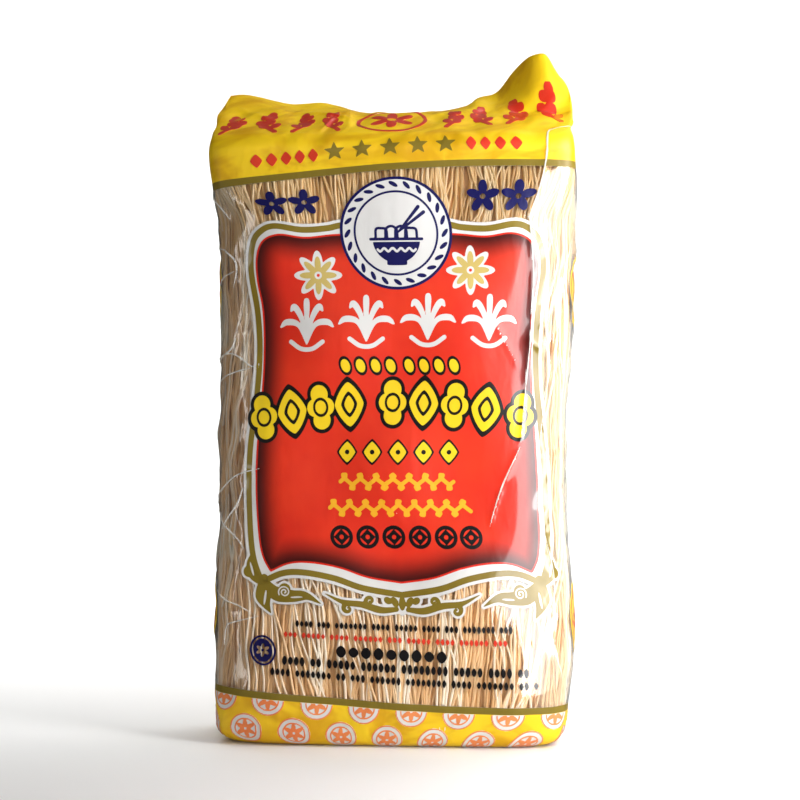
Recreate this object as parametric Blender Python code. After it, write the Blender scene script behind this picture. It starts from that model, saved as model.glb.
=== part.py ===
"""A sealed clear bag filled with a block of dried rice vermicelli, standing on its folded base.

The bag is one closed skin: a flat base, four bulging walls, a sloping roof, and above the roof the
flattened header of the bag, which leans back in the middle and stands up as an ear on the right.
Metres, +Z up. The printed front faces -Y, and the origin is under the middle of the base.
"""

import math

import bmesh
import bpy

# Driving dimensions of the filled bag
PACK_WIDTH = 0.160
PACK_DEPTH = 0.060
BLOCK_HEIGHT = 0.262
ROOF_RISE = 0.011
RIDGE_WIDTH = 0.1562
RIDGE_BACK = 0.003
HEADER_LENGTH = 0.027
HEADER_THICKNESS = 0.0011

# Squareness of the cross-section: 2 is an ellipse, larger is boxier
BODY_SQUARENESS = 4.0
BASE_SQUARENESS = 5.0
SHOULDER_SQUARENESS = 10.0
RIDGE_SQUARENESS = 9.0

# Half width and half depth up the walls, as shares of the full half sizes
WIDTH_UP_THE_WALL = (
    (0.000, 0.905),
    (0.012, 0.942),
    (0.040, 0.962),
    (0.095, 0.935),
    (0.125, 0.940),
    (0.150, 0.930),
    (0.208, 0.955),
    (0.243, 0.992),
    (BLOCK_HEIGHT, 1.010),
)
DEPTH_UP_THE_WALL = (
    (0.000, 0.760),
    (0.012, 0.930),
    (0.045, 1.000),
    (0.095, 0.985),
    (0.145, 0.972),
    (0.195, 0.990),
    (0.238, 0.960),
    (BLOCK_HEIGHT, 0.800),
)

# How far the block leans to the right up the walls
SWAY_UP_THE_WALL = (
    (0.000, -0.0010),
    (0.060, 0.0008),
    (0.110, -0.0005),
    (0.160, 0.0010),
    (0.200, 0.0020),
    (0.232, 0.0012),
    (BLOCK_HEIGHT, 0.0),
)

# The base turns up into the walls, and the walls turn in to the roof, over these heights
BASE_RADIUS = 0.009
SHOULDER_RADIUS = 0.010
SHOULDER_TURN_DEG = 58.0
SHOULDER_NARROWS = 0.15

# The header's lean back from upright, in degrees, at shares of its half width from left to right
HEADER_LEAN_DEG = (
    (-1.00, 63.0),
    (-0.76, 65.0),
    (-0.50, 71.0),
    (-0.18, 81.0),
    (0.28, 82.0),
    (0.40, 74.0),
    (0.47, 64.0),
    (0.60, 60.0),
    (0.70, 41.0),
    (0.80, 21.0),
    (0.90, 14.0),
    (1.00, 26.0),
)
# How its two ends narrow, and how much their corners are cut down, on the right and on the left
EAR_PULLED_IN = 0.005
LEFT_CORNER_PULLED_IN = 0.002
EAR_CORNER_CUT = 0.008
LEFT_CORNER_CUT = 0.003
HEADER_WAVE = 0.0016
HEADER_WAVES_ACROSS = 11.0
HEADER_WAVES_UP = 2.6

# The side gussets fold in under the roof: how deep, and the heights where the fold starts and is deepest
GUSSET_DEPTH = 0.008
GUSSET_STARTS = 0.222
GUSSET_DEEPEST = 0.261

# Soft relief of the film over the block, and the pleats of the header
WALL_WAVE = 0.0007
PLEAT_DEPTH = 0.0011
PLEAT_SPREAD = 0.055
PLEAT_PIVOT = 0.4
# The share of a pleat's length that lies on the roof; the rest is on the header
ROOF_SHARE = 0.5
# Each pleat: where it crosses the roof, as a share of the half width, and how far it leans sideways
PLEATS = (
    (-0.86, 0.12),
    (-0.52, -0.10),
    (-0.18, 0.09),
    (0.22, -0.14),
    (0.47, 0.19),
    (0.70, -0.12),
    (0.90, 0.07),
)

# Mesh density: points along the front and the back, up each side, and rings from base to header
FACE_POINTS = 34
SIDE_POINTS = 8
SPREAD_TURN = 2.2
WALL_RINGS = 22
BASE_RINGS = 5
SHOULDER_RINGS = 5
ROOF_RINGS = 5
HEADER_RINGS = 6
FLOOR_RINGS = 3


def smoothstep(low, high, value):
    share = min(1.0, max(0.0, (value - low) / (high - low)))
    return share * share * (3.0 - 2.0 * share)


def along(stations, z):
    """A smooth curve through (place, value) stations, by Catmull-Rom spans."""
    if z <= stations[0][0]:
        return stations[0][1]
    for i in range(len(stations) - 1):
        z0, v0 = stations[i]
        z1, v1 = stations[i + 1]
        if z <= z1:
            before = stations[max(i - 1, 0)]
            after = stations[min(i + 2, len(stations) - 1)]
            slope0 = (v1 - before[1]) / (z1 - before[0])
            slope1 = (after[1] - v0) / (after[0] - z0)
            t = (z - z0) / (z1 - z0)
            span = z1 - z0
            return (
                (2 * t**3 - 3 * t**2 + 1) * v0
                + (t**3 - 2 * t**2 + t) * span * slope0
                + (3 * t**2 - 2 * t**3) * v1
                + (t**3 - t**2) * span * slope1
            )
    return stations[-1][1]


def spread(share):
    """-1 to 1 for a share of 0 to 1, with steps that shorten towards both ends."""
    return math.sin((share - 0.5) * SPREAD_TURN) / math.sin(0.5 * SPREAD_TURN)


def unit_square():
    """Places round a square from -1 to 1, from the middle of its right side by way of the back."""
    up = [spread(k / SIDE_POINTS) for k in range(SIDE_POINTS)]
    across = [spread(k / FACE_POINTS) for k in range(FACE_POINTS)]
    right = [(1.0, v) for v in up]
    back = [(-u, 1.0) for u in across]
    left = [(-1.0, -v) for v in up]
    front = [(u, -1.0) for u in across]
    places = right + back + left + front
    middle = SIDE_POINTS // 2
    return places[middle:] + places[:middle]


def squircle(half_width, half_depth, squareness):
    """A superellipse: each place of the square is drawn in towards the middle."""
    ring = []
    for u, v in unit_square():
        shrink = (abs(u) ** squareness + abs(v) ** squareness) ** (-1.0 / squareness)
        ring.append((u * shrink * half_width, v * shrink * half_depth))
    return ring


def wall_size(z):
    """Half width and half depth of the bag at a height on its walls."""
    return (
        PACK_WIDTH / 2 * along(WIDTH_UP_THE_WALL, z),
        PACK_DEPTH / 2 * along(DEPTH_UP_THE_WALL, z),
    )


def wall_wave(x, y, z):
    """How far the film stands out over the hanks of noodles inside, in long slow waves."""
    wave = math.sin(x * 118.0 + 1.3) * math.sin(z * 61.0 + 0.6)
    wave += 0.6 * math.sin(x * 61.0 - z * 97.0 + 1.2 + 0.8 * math.tanh(y / 0.008))
    ends = smoothstep(0.0, 0.030, z) * (1.0 - smoothstep(BLOCK_HEIGHT - 0.02, BLOCK_HEIGHT, z))
    return WALL_WAVE * wave * ends


def gusset(x, y, z, half_width, half_depth):
    """How far the side's middle line is folded in towards the middle of the bag."""
    ridge = BLOCK_HEIGHT + ROOF_RISE
    fold = smoothstep(GUSSET_STARTS, GUSSET_DEEPEST, z) * (1.0 - smoothstep(GUSSET_DEEPEST, ridge, z))
    side = smoothstep(0.80, 1.0, abs(x) / half_width)
    crease = 1.0 - min(1.0, abs(y) / half_depth)
    return GUSSET_DEPTH * fold * side * crease


def wall_ring(z, half_width, half_depth, squareness):
    """One ring of the walls, each point moved outwards by the film's soft relief."""
    ring = []
    for x, y in squircle(half_width, half_depth, squareness):
        out = wall_wave(x, y, z)
        length = math.hypot(x / half_width**2, y / half_depth**2)
        inward = math.copysign(gusset(x, y, z, half_width, half_depth), x)
        ring.append(
            (
                x + out * x / half_width**2 / length - inward + along(SWAY_UP_THE_WALL, z),
                y + out * y / half_depth**2 / length,
                z,
            )
        )
    return ring


def base_rings():
    """The quarter-round between the flat base and the walls."""
    rings = []
    for k in range(BASE_RINGS):
        turn = math.pi / 2 * k / BASE_RINGS
        z = BASE_RADIUS * (1.0 - math.cos(turn))
        half_width, half_depth = wall_size(BASE_RADIUS)
        inset = BASE_RADIUS * (1.0 - math.sin(turn))
        ring = squircle(half_width - inset, half_depth - inset, BASE_SQUARENESS)
        sway = along(SWAY_UP_THE_WALL, z)
        rings.append([(x + sway, y, z) for x, y in ring])
    return rings


def wall_rings():
    rings = []
    top = BLOCK_HEIGHT - SHOULDER_RADIUS
    for k in range(WALL_RINGS + 1):
        z = BASE_RADIUS + (top - BASE_RADIUS) * k / WALL_RINGS
        squareness = BASE_SQUARENESS + (BODY_SQUARENESS - BASE_SQUARENESS) * smoothstep(0.0, 0.05, z)
        squareness += (SHOULDER_SQUARENESS - BODY_SQUARENESS) * smoothstep(GUSSET_STARTS, top, z)
        rings.append(wall_ring(z, *wall_size(z), squareness))
    return rings


def pleat(x, rise):
    """Depth of the film's pleats at x, a share rise of the way from the shoulder to the header's tip."""
    share = x / (PACK_WIDTH / 2)
    depth = 0.0
    for where, slant in PLEATS:
        off = (share - where - slant * (rise - PLEAT_PIVOT)) / PLEAT_SPREAD
        depth += math.exp(-off * off)
    return PLEAT_DEPTH * depth * math.sin(math.pi * min(1.0, max(0.0, rise)))


def roof_rings():
    """The shoulder's round and the roof, which closes from the full depth to the header's thickness."""
    rings = []
    start_width, start_depth = wall_size(BLOCK_HEIGHT - SHOULDER_RADIUS)
    steps = SHOULDER_RINGS + ROOF_RINGS
    for k in range(1, steps + 1):
        if k <= SHOULDER_RINGS:
            turn = math.radians(SHOULDER_TURN_DEG) * k / SHOULDER_RINGS
            inset = SHOULDER_RADIUS * (1.0 - math.cos(turn))
            z = BLOCK_HEIGHT - SHOULDER_RADIUS + SHOULDER_RADIUS * math.sin(turn)
            half_width = start_width - SHOULDER_NARROWS * inset
            half_depth = start_depth - inset
            shoulder = (half_width, half_depth, z)
            squareness = SHOULDER_SQUARENESS
            rise = 0.0
        else:
            share = (k - SHOULDER_RINGS) / ROOF_RINGS
            half_width = shoulder[0] + (RIDGE_WIDTH / 2 - shoulder[0]) * share
            half_depth = shoulder[1] + (HEADER_THICKNESS / 2 - shoulder[1]) * share
            z = shoulder[2] + (BLOCK_HEIGHT + ROOF_RISE - shoulder[2]) * share
            squareness = SHOULDER_SQUARENESS + (RIDGE_SQUARENESS - SHOULDER_SQUARENESS) * share
            rise = ROOF_SHARE * share
        ring = []
        for x, y in squircle(half_width, half_depth, squareness):
            sink = pleat(x, rise)
            inward = math.copysign(gusset(x, y, z, half_width, half_depth), x)
            sway = along(SWAY_UP_THE_WALL, z)
            ring.append((x - inward + sway, y + RIDGE_BACK * rise / ROOF_SHARE, z - sink))
        rings.append(ring)
    return rings


def lean(share):
    """The header's lean back from upright, in radians, at a share of the half width."""
    return math.radians(along(HEADER_LEAN_DEG, share))


def header_rings():
    """The flat header: it leans from the ridge, wavy, and narrows towards its corners."""
    rings = []
    root_z = BLOCK_HEIGHT + ROOF_RISE
    half_width = RIDGE_WIDTH / 2
    for k in range(1, HEADER_RINGS + 1):
        up = k / HEADER_RINGS
        ring = []
        for x, y in squircle(half_width, HEADER_THICKNESS / 2, RIDGE_SQUARENESS):
            share = x / half_width
            angle = lean(share)
            pull = EAR_PULLED_IN if share > 0 else LEFT_CORNER_PULLED_IN
            cut = EAR_CORNER_CUT if share > 0 else LEFT_CORNER_CUT
            inward = pull * abs(share) ** 3 * up**1.6
            reach = HEADER_LENGTH * up - cut * up**2 * smoothstep(0.88, 1.0, abs(share))
            wave = HEADER_WAVE * math.sin(share * HEADER_WAVES_ACROSS + HEADER_WAVES_UP * up) * up
            sink = pleat(x, ROOF_SHARE + (1.0 - ROOF_SHARE) * up) * (1.0 - up)
            back = RIDGE_BACK + reach * math.sin(angle) + (y + wave) * math.cos(angle)
            height = root_z + reach * math.cos(angle) - (y + wave) * math.sin(angle) - sink
            ring.append((x - math.copysign(inward, x), back, height))
        rings.append(ring)
    return rings


def bridge(mesh, lower, upper):
    """Quads between two rings of vertices, facing outwards."""
    count = len(lower)
    for i in range(count):
        j = (i + 1) % count
        mesh.faces.new((lower[i], lower[j], upper[j], upper[i]))


def close_base(mesh, ring):
    """Rings shrinking to a middle point fill the flat base."""
    outer = ring
    for k in range(1, FLOOR_RINGS):
        share = 1.0 - k / FLOOR_RINGS
        inner = [mesh.verts.new((v.co.x * share, v.co.y * share, 0.0)) for v in ring]
        bridge(mesh, inner, outer)
        outer = inner
    middle = mesh.verts.new((0.0, 0.0, 0.0))
    for i, vertex in enumerate(outer):
        mesh.faces.new((middle, outer[(i + 1) % len(outer)], vertex))


def close_header(mesh, ring):
    """The header's top edge: each back point meets the front point across from it."""
    count = len(ring)
    for i in range(count // 2):
        a, b = ring[i], ring[i + 1]
        c, d = ring[(-i - 1) % count], ring[-i % count]
        corners = [v for n, v in enumerate((a, b, c, d)) if v not in (a, b, c, d)[:n]]
        if len(corners) > 2:
            mesh.faces.new(corners)


def centred(rings):
    """The rings moved so that the middle of the whole bag's outline is at x = y = 0."""
    xs = [p[0] for ring in rings for p in ring]
    ys = [p[1] for ring in rings for p in ring]
    dx, dy = (min(xs) + max(xs)) / 2, (min(ys) + max(ys)) / 2
    return [[(x - dx, y - dy, z) for x, y, z in ring] for ring in rings]


def build_pack():
    rings = centred(base_rings() + wall_rings() + roof_rings() + header_rings())
    mesh = bmesh.new()
    loops = [[mesh.verts.new(point) for point in ring] for ring in rings]
    for lower, upper in zip(loops, loops[1:]):
        bridge(mesh, lower, upper)
    close_base(mesh, loops[0])
    close_header(mesh, loops[-1])
    bmesh.ops.recalc_face_normals(mesh, faces=mesh.faces)
    data = bpy.data.meshes.new("vermicelli_pack")
    mesh.to_mesh(data)
    mesh.free()
    data.shade_smooth()
    data.set_sharp_from_angle(angle=math.radians(50))
    pack = bpy.data.objects.new("vermicelli_pack", data)
    bpy.context.scene.collection.objects.link(pack)
    return pack


def pack_material():
    """Rice noodles seen through clear film: pale warm straw, with the film's gloss."""
    material = bpy.data.materials.new("noodles_in_clear_film")
    material.use_nodes = True
    shader = material.node_tree.nodes["Principled BSDF"]
    shader.inputs["Base Color"].default_value = (0.68, 0.52, 0.34, 1.0)
    shader.inputs["Roughness"].default_value = 0.25
    shader.inputs["Metallic"].default_value = 0.0
    return material


def main():
    for old in list(bpy.data.objects):
        bpy.data.objects.remove(old, do_unlink=True)
    pack = build_pack()
    pack.data.materials.append(pack_material())


main()
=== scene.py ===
import bpy
import math
import numpy as np
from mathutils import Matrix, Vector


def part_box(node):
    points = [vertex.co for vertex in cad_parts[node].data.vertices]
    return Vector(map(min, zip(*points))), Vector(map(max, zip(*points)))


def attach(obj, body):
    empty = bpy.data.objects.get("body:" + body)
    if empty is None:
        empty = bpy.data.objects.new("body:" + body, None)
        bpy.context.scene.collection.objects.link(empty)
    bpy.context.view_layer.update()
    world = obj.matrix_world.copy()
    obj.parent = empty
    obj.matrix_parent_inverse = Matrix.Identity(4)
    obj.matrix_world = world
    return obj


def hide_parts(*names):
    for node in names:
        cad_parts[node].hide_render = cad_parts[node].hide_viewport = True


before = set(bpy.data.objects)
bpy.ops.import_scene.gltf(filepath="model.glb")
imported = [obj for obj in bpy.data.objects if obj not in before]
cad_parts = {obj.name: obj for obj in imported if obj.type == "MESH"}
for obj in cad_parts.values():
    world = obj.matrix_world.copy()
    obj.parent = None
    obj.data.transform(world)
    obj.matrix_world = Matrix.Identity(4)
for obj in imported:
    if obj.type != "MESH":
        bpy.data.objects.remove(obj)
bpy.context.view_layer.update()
rng = np.random.default_rng(11)
wholeTurn = 2 * math.pi


# Small tools

def smoothstep(low, high, value):
    # 0 below low, 1 above high, and 3s^2 - 2s^3 between
    share = np.clip((value - low) / (high - low), 0.0, 1.0)
    return share * share * (3.0 - 2.0 * share)


def alongStations(stations, z):
    # Hermite spans through (height, value) stations, each slope taken from the two neighbours
    at = np.array([s[0] for s in stations])
    value = np.array([s[1] for s in stations])
    before = np.concatenate([at[:1], at[:-1]]), np.concatenate([value[:1], value[:-1]])
    after = np.concatenate([at[1:], at[-1:]]), np.concatenate([value[1:], value[-1:]])
    slope = (after[1] - before[1]) / (after[0] - before[0])
    z = np.clip(z, at[0], at[-1])
    i = np.clip(np.searchsorted(at, z, side="left") - 1, 0, len(at) - 2)
    span = at[i + 1] - at[i]
    t = (z - at[i]) / span
    return (
        (2 * t**3 - 3 * t**2 + 1) * value[i]
        + (t**3 - 2 * t**2 + t) * span * slope[i]
        + (3 * t**2 - 2 * t**3) * value[i + 1]
        + (t**3 - t**2) * span * slope[i + 1]
    )


def makeMesh(name, points, faceSets, material):
    # points is n by 3; each face set is an array of m faces by k corners
    mesh = bpy.data.meshes.new(name)
    mesh.vertices.add(len(points))
    mesh.vertices.foreach_set("co", np.asarray(points, np.float32).ravel())
    corners = np.concatenate([f.ravel() for f in faceSets]).astype(np.int32)
    sizes = np.concatenate([np.full(len(f), f.shape[1]) for f in faceSets])
    starts = (np.cumsum(sizes) - sizes).astype(np.int32)
    mesh.loops.add(len(corners))
    mesh.loops.foreach_set("vertex_index", corners)
    mesh.polygons.add(len(sizes))
    mesh.polygons.foreach_set("loop_start", starts)
    mesh.update(calc_edges=True)
    mesh.validate()
    mesh.polygons.foreach_set("use_smooth", np.full(len(mesh.polygons), True))
    mesh.materials.append(material)
    piece = bpy.data.objects.new(name, mesh)
    bpy.context.scene.collection.objects.link(piece)
    return piece


def addTone(piece, tones):
    # one number for each vertex, which the material reads by the name tone
    layer = piece.data.attributes.new("tone", "FLOAT", "POINT")
    layer.data.foreach_set("value", np.asarray(tones, np.float32))


def standFor(piece):
    # the piece rides on the root body and takes the solid pack's place
    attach(piece, "root")
    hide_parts("vermicelli_pack")
    return piece


class Wire:
    # A shader socket that can take part in sums: each operator adds its Math node

    def __init__(self, tree, socket=None):
        self.tree = tree
        self.socket = socket

    def node(self, kind, settings=None, inputs=None, output=0):
        made = self.tree.nodes.new(kind)
        for key, value in (settings or {}).items():
            setattr(made, key, value)
        for key, value in (inputs or {}).items():
            if isinstance(value, Wire):
                self.tree.links.new(value.socket, made.inputs[key])
            else:
                made.inputs[key].default_value = value
        return Wire(self.tree, made.outputs[output])

    def maths(self, operation, *values):
        return self.node("ShaderNodeMath", {"operation": operation}, dict(enumerate(values)))

    def __add__(self, other):
        return self.maths("ADD", self, other)

    def __radd__(self, other):
        return self.maths("ADD", other, self)

    def __sub__(self, other):
        return self.maths("SUBTRACT", self, other)

    def __rsub__(self, other):
        return self.maths("SUBTRACT", other, self)

    def __mul__(self, other):
        return self.maths("MULTIPLY", self, other)

    def sine(self):
        return self.maths("SINE", self)

    def least(self, other):
        return self.maths("MINIMUM", self, other)

    def most(self, other):
        return self.maths("MAXIMUM", self, other)

    def step(self, low, high):
        # 0 at low to 1 at high, smooth between, and clamped outside
        inputs = {0: self, 1: low, 2: high, 3: 0.0, 4: 1.0}
        return self.node("ShaderNodeMapRange", {"interpolation_type": "SMOOTHSTEP"}, inputs)

    def mix(self, low, high):
        # self is the share: low colour at 0, high colour at 1
        inputs = {0: self, 6: low, 7: high}
        return self.node("ShaderNodeMix", {"data_type": "RGBA"}, inputs, output=2)


def newMaterial(name):
    # a Principled material, a Wire to start its sums from, and its shader
    material = bpy.data.materials.new(name)
    material.use_nodes = True
    tree = material.node_tree
    shader = tree.nodes["Principled BSDF"]
    return material, Wire(tree), shader


def feed(wire, shader, socket):
    # the Wire's result goes to that socket of the shader
    wire.tree.links.new(wire.socket, shader.inputs[socket])


def setInputs(shader, values):
    # each constant goes on the shader's own socket
    for socket, value in values.items():
        shader.inputs[socket].default_value = value


def bandFaces(index):
    # faces between the rows of a closed band, each point joined to the next one round and the row above
    right = np.roll(index, -1, axis=1)
    return np.stack([index[:-1], right[:-1], right[1:], index[1:]], -1).reshape(-1, 4)


def fanFaces(middle, rim):
    # one triangle from the middle point to each edge of the rim
    return np.stack([np.full(len(rim), middle), np.roll(rim, -1), rim], -1)


def noiseAt(start, stretch, scale, detail=3.0, roughness=0.55, distortion=0.0):
    # cloudy noise from 0 to 1, read at the object's coordinates times stretch; a larger scale is finer
    place = start.node("ShaderNodeTexCoord", output=3)
    place = start.node("ShaderNodeMapping", None, {"Vector": place, "Scale": stretch})
    inputs = {"Vector": place, "Scale": scale, "Detail": detail, "Roughness": roughness,
              "Distortion": distortion}
    return place.node("ShaderNodeTexNoise", None, inputs)


# The form of the bag: one skin read by how far round (u) and how far up (v), both in print millimetres.
# u is 0 at the middle of the front and grows to the right; v is the height on the walls.

bag = dict(
    width=0.160, depth=0.060, blockHeight=0.262, roofRise=0.011,
    ridgeWidth=0.1562, ridgeBack=0.003, headerLength=0.027, headerThickness=0.0009,
    baseRadius=0.009, shoulderRadius=0.010, shoulderTurn=58.0, shoulderNarrows=0.15,
    bodySquareness=4.0, baseSquareness=5.0, shoulderSquareness=10.0, ridgeSquareness=9.0,
    widthUp=((0.000, 0.905), (0.012, 0.942), (0.040, 0.962), (0.095, 0.935),
             (0.125, 0.940), (0.150, 0.930), (0.208, 0.955), (0.243, 0.992), (0.262, 1.010)),
    swayUp=((0.000, -0.0010), (0.060, 0.0008), (0.110, -0.0005), (0.160, 0.0010),
            (0.200, 0.0020), (0.232, 0.0012), (0.262, 0.0)),
    depthUp=((0.000, 0.760), (0.012, 0.930), (0.045, 1.000), (0.095, 0.985),
             (0.145, 0.972), (0.195, 0.990), (0.238, 0.960), (0.262, 0.800)),
    gussetDepth=0.008, gussetStarts=0.222, gussetDeepest=0.261,
    waveHeight=0.0007, pleatDepth=0.0011, pleatSpread=0.055, pleatPivot=0.4, roofShare=0.5,
    pleats=((-0.86, 0.12), (-0.52, -0.10), (-0.18, 0.09), (0.22, -0.14),
            (0.47, 0.19), (0.70, -0.12), (0.90, 0.07)),
    headerLean=((-1.00, 63), (-0.76, 65), (-0.50, 71), (-0.18, 81), (0.28, 82), (0.40, 74), (0.47, 64),
                (0.60, 60), (0.70, 41), (0.80, 21), (0.90, 14), (1.00, 26)),
    earPulledIn=0.005, leftPulledIn=0.002, earCut=0.008, leftCut=0.003,
    headerWave=0.0016, wavesAcross=11.0, wavesUp=2.6,
)


def wallSize(z):
    # half the bag's width and depth, times the share that each has at height z
    return (bag["width"] / 2 * alongStations(bag["widthUp"], z),
            bag["depth"] / 2 * alongStations(bag["depthUp"], z))


def skinRows():
    # one row for each step up the skin: half width, half depth, squareness, height, roof, header, and v
    def part(*values):
        # constants are spread over the part's rows
        return np.array(np.broadcast_arrays(*values), float)

    radius, shoulder = bag["baseRadius"], bag["shoulderRadius"]
    baseWidth, baseDepth = wallSize(np.array(radius))
    share = np.linspace(0.0, 1.0, 30)[:-1]
    floor = part((baseWidth - radius) * share, (baseDepth - radius) * share, bag["baseSquareness"], 0, 0, 0)
    turn = np.linspace(0.0, math.pi / 2, 24)[:-1]
    inset = radius * (1 - np.sin(turn))
    base = part(baseWidth - inset, baseDepth - inset, bag["baseSquareness"], radius * (1 - np.cos(turn)), 0,
                0)
    top = bag["blockHeight"] - shoulder
    z = np.linspace(radius, top, 240)
    rounder = bag["bodySquareness"] - bag["baseSquareness"]
    sharper = bag["shoulderSquareness"] - bag["bodySquareness"]
    squareness = bag["baseSquareness"] + rounder * smoothstep(0.0, 0.05, z)
    squareness += sharper * smoothstep(bag["gussetStarts"], top, z)
    wallWidth, wallDepth = wallSize(z)
    wall = part(wallWidth, wallDepth, squareness, z, 0, 0)
    turn = np.radians(bag["shoulderTurn"]) * np.linspace(0.0, 1.0, 20)[1:]
    inset = shoulder * (1 - np.cos(turn))
    rounding = part(wallWidth[-1] - bag["shoulderNarrows"] * inset, wallDepth[-1] - inset,
                    bag["shoulderSquareness"], top + shoulder * np.sin(turn), 0, 0)
    share = np.linspace(0.0, 1.0, 40)[1:]
    ridge = (bag["ridgeWidth"] / 2, bag["headerThickness"] / 2, bag["ridgeSquareness"],
             bag["blockHeight"] + bag["roofRise"])
    roof = part(*[a[-1] + (b - a[-1]) * share for a, b in zip(rounding, ridge)], share, 0)
    header = part(*[value[-1] for value in roof[:4]], 1, share)
    rows = np.concatenate([floor, base, wall, rounding, roof, header], axis=1)
    alongX = -rows[1] + bag["ridgeBack"] * rows[4]
    alongZ = rows[3] + bag["headerLength"] * rows[5]
    steps = np.hypot(np.diff(alongX), np.diff(alongZ))
    v = np.concatenate([[0.0], np.cumsum(steps)])
    v += radius - np.interp(radius, rows[3], v)
    return rows, v * 1000.0


def skinColumns():
    # a walk round the unit square from the middle of the front, and how far round the bag each place is
    share = np.linspace(-1.0, 1.0, 400)[:-1]
    half = share[share >= 0]
    a = np.concatenate([half, 0 * share + 1, -share, 0 * share - 1, share[share < 0], [0.0]])
    b = np.concatenate([0 * half - 1, share, 0 * share + 1, -share, 0 * share[share < 0] - 1, [-1.0]])
    x, y = squircle(a, b, bag["width"] / 2 * 0.97, bag["depth"] / 2, bag["bodySquareness"])
    u = np.concatenate([[0.0], np.cumsum(np.hypot(np.diff(x), np.diff(y)))]) * 1000.0
    return u, a, b


def squircle(a, b, halfWidth, halfDepth, squareness):
    # each place of the unit square drawn in by (|a|^n + |b|^n)^(-1/n), which gives a superellipse
    shrink = (np.abs(a) ** squareness + np.abs(b) ** squareness) ** (-1.0 / squareness)
    return a * shrink * halfWidth, b * shrink * halfDepth


skinTable, skinV = skinRows()
columnU, columnA, columnB = skinColumns()
girth = columnU[-1]  # once round the bag, in print millimetres
print("girth", round(float(girth), 1), "mm, skin from and to", np.round(skinV[[0, -1]], 1))


def wallWave(x, y, z):
    # sin * sin + 0.6 sin of x and z, fading to nothing at the foot and at the top
    wave = np.sin(x * 118.0 + 1.3) * np.sin(z * 61.0 + 0.6)
    wave += 0.6 * np.sin(x * 61.0 - z * 97.0 + 1.2 + 0.8 * np.tanh(y / 0.008))
    ends = smoothstep(0.0, 0.030, z) * (1 - smoothstep(bag["blockHeight"] - 0.02, bag["blockHeight"], z))
    return bag["waveHeight"] * wave * ends


def pleat(x, rise):
    # depth * the sum of exp(-((share across - place) / spread)^2) * sin(pi * rise)
    share = x / (bag["width"] / 2)
    depth = 0.0
    for where, slant in bag["pleats"]:
        away = (share - where - slant * (rise - bag["pleatPivot"])) / bag["pleatSpread"]
        depth = depth + np.exp(-(away**2))
    return bag["pleatDepth"] * depth * np.sin(math.pi * np.clip(rise, 0, 1))


def lean(share):
    # how far back from upright the header leans, at this share of its half width
    return np.radians(alongStations(bag["headerLean"], share))


def bareSkin(u, v):
    # superellipse at the row's size, with the waves, the gussets, the pleats and the header's lean
    u, v = np.broadcast_arrays(np.asarray(u, float), np.asarray(v, float))
    u = np.mod(u, girth)
    a, b = np.interp(u, columnU, columnA), np.interp(u, columnU, columnB)
    halfWidth, halfDepth, squareness, z, roof, up = (np.interp(v, skinV, row) for row in skinTable)
    x, y = squircle(a, b, halfWidth, halfDepth, squareness)
    out = wallWave(x, y, z) * (roof <= 0)
    safeWidth, safeDepth = np.maximum(halfWidth, 1e-4), np.maximum(halfDepth, 1e-4)
    length = np.maximum(np.hypot(x / safeWidth**2, y / safeDepth**2), 1e-6)
    fold = smoothstep(bag["gussetStarts"], bag["gussetDeepest"], z)
    fold = fold * (1 - smoothstep(bag["gussetDeepest"], bag["blockHeight"] + bag["roofRise"], z))
    crease = 1 - np.minimum(1.0, np.abs(y) / safeDepth)
    inward = bag["gussetDepth"] * fold * smoothstep(0.80, 1.0, np.abs(x) / safeWidth) * crease
    px = x + out * x / safeWidth**2 / length - np.sign(x) * inward + alongStations(bag["swayUp"], z)
    py = y + out * y / safeDepth**2 / length + bag["ridgeBack"] * roof
    pz = z - pleat(x, bag["roofShare"] * roof)
    share = x / (bag["ridgeWidth"] / 2)
    angle = lean(share)
    edge = np.abs(share)
    pull = np.where(share > 0, bag["earPulledIn"], bag["leftPulledIn"]) * edge**3 * up**1.6
    cut = np.where(share > 0, bag["earCut"], bag["leftCut"])
    reach = bag["headerLength"] * up - cut * up**2 * smoothstep(0.88, 1.0, edge)
    across = y + bag["headerWave"] * np.sin(share * bag["wavesAcross"] + bag["wavesUp"] * up) * up
    turned = angle * smoothstep(0.0, 0.3, up)
    sink = pleat(x, bag["roofShare"] + (1 - bag["roofShare"]) * up) * (1 - up)
    hy = bag["ridgeBack"] + reach * np.sin(angle) + across * np.cos(turned)
    hz = z + reach * np.cos(angle) - across * np.sin(turned) - sink
    isHeader = up > 0
    return np.stack([np.where(isHeader, x - np.sign(x) * pull, px),
                     np.where(isHeader, hy, py), np.where(isHeader, hz, pz)], -1)


# The bag's outline is centred like the solid's box
sampleU, sampleV = np.meshgrid(np.linspace(0, girth, 360), np.linspace(skinV[0], skinV[-1], 300))
sample = bareSkin(sampleU, sampleV).reshape(-1, 3)
nodeLow, nodeHigh = (np.array(corner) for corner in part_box("vermicelli_pack"))
centring = (nodeLow + nodeHigh - sample.min(0) - sample.max(0)) / 2 * np.array([1, 1, 0])
print("centring", np.round(centring * 1000, 2), "mm")


def bothFaces(halfWide, low, high):
    # the same box of u and v on the front and on the back
    return ((-halfWide, halfWide, low, high), (girth / 2 - halfWide, girth / 2 + halfWide, low, high))


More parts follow.
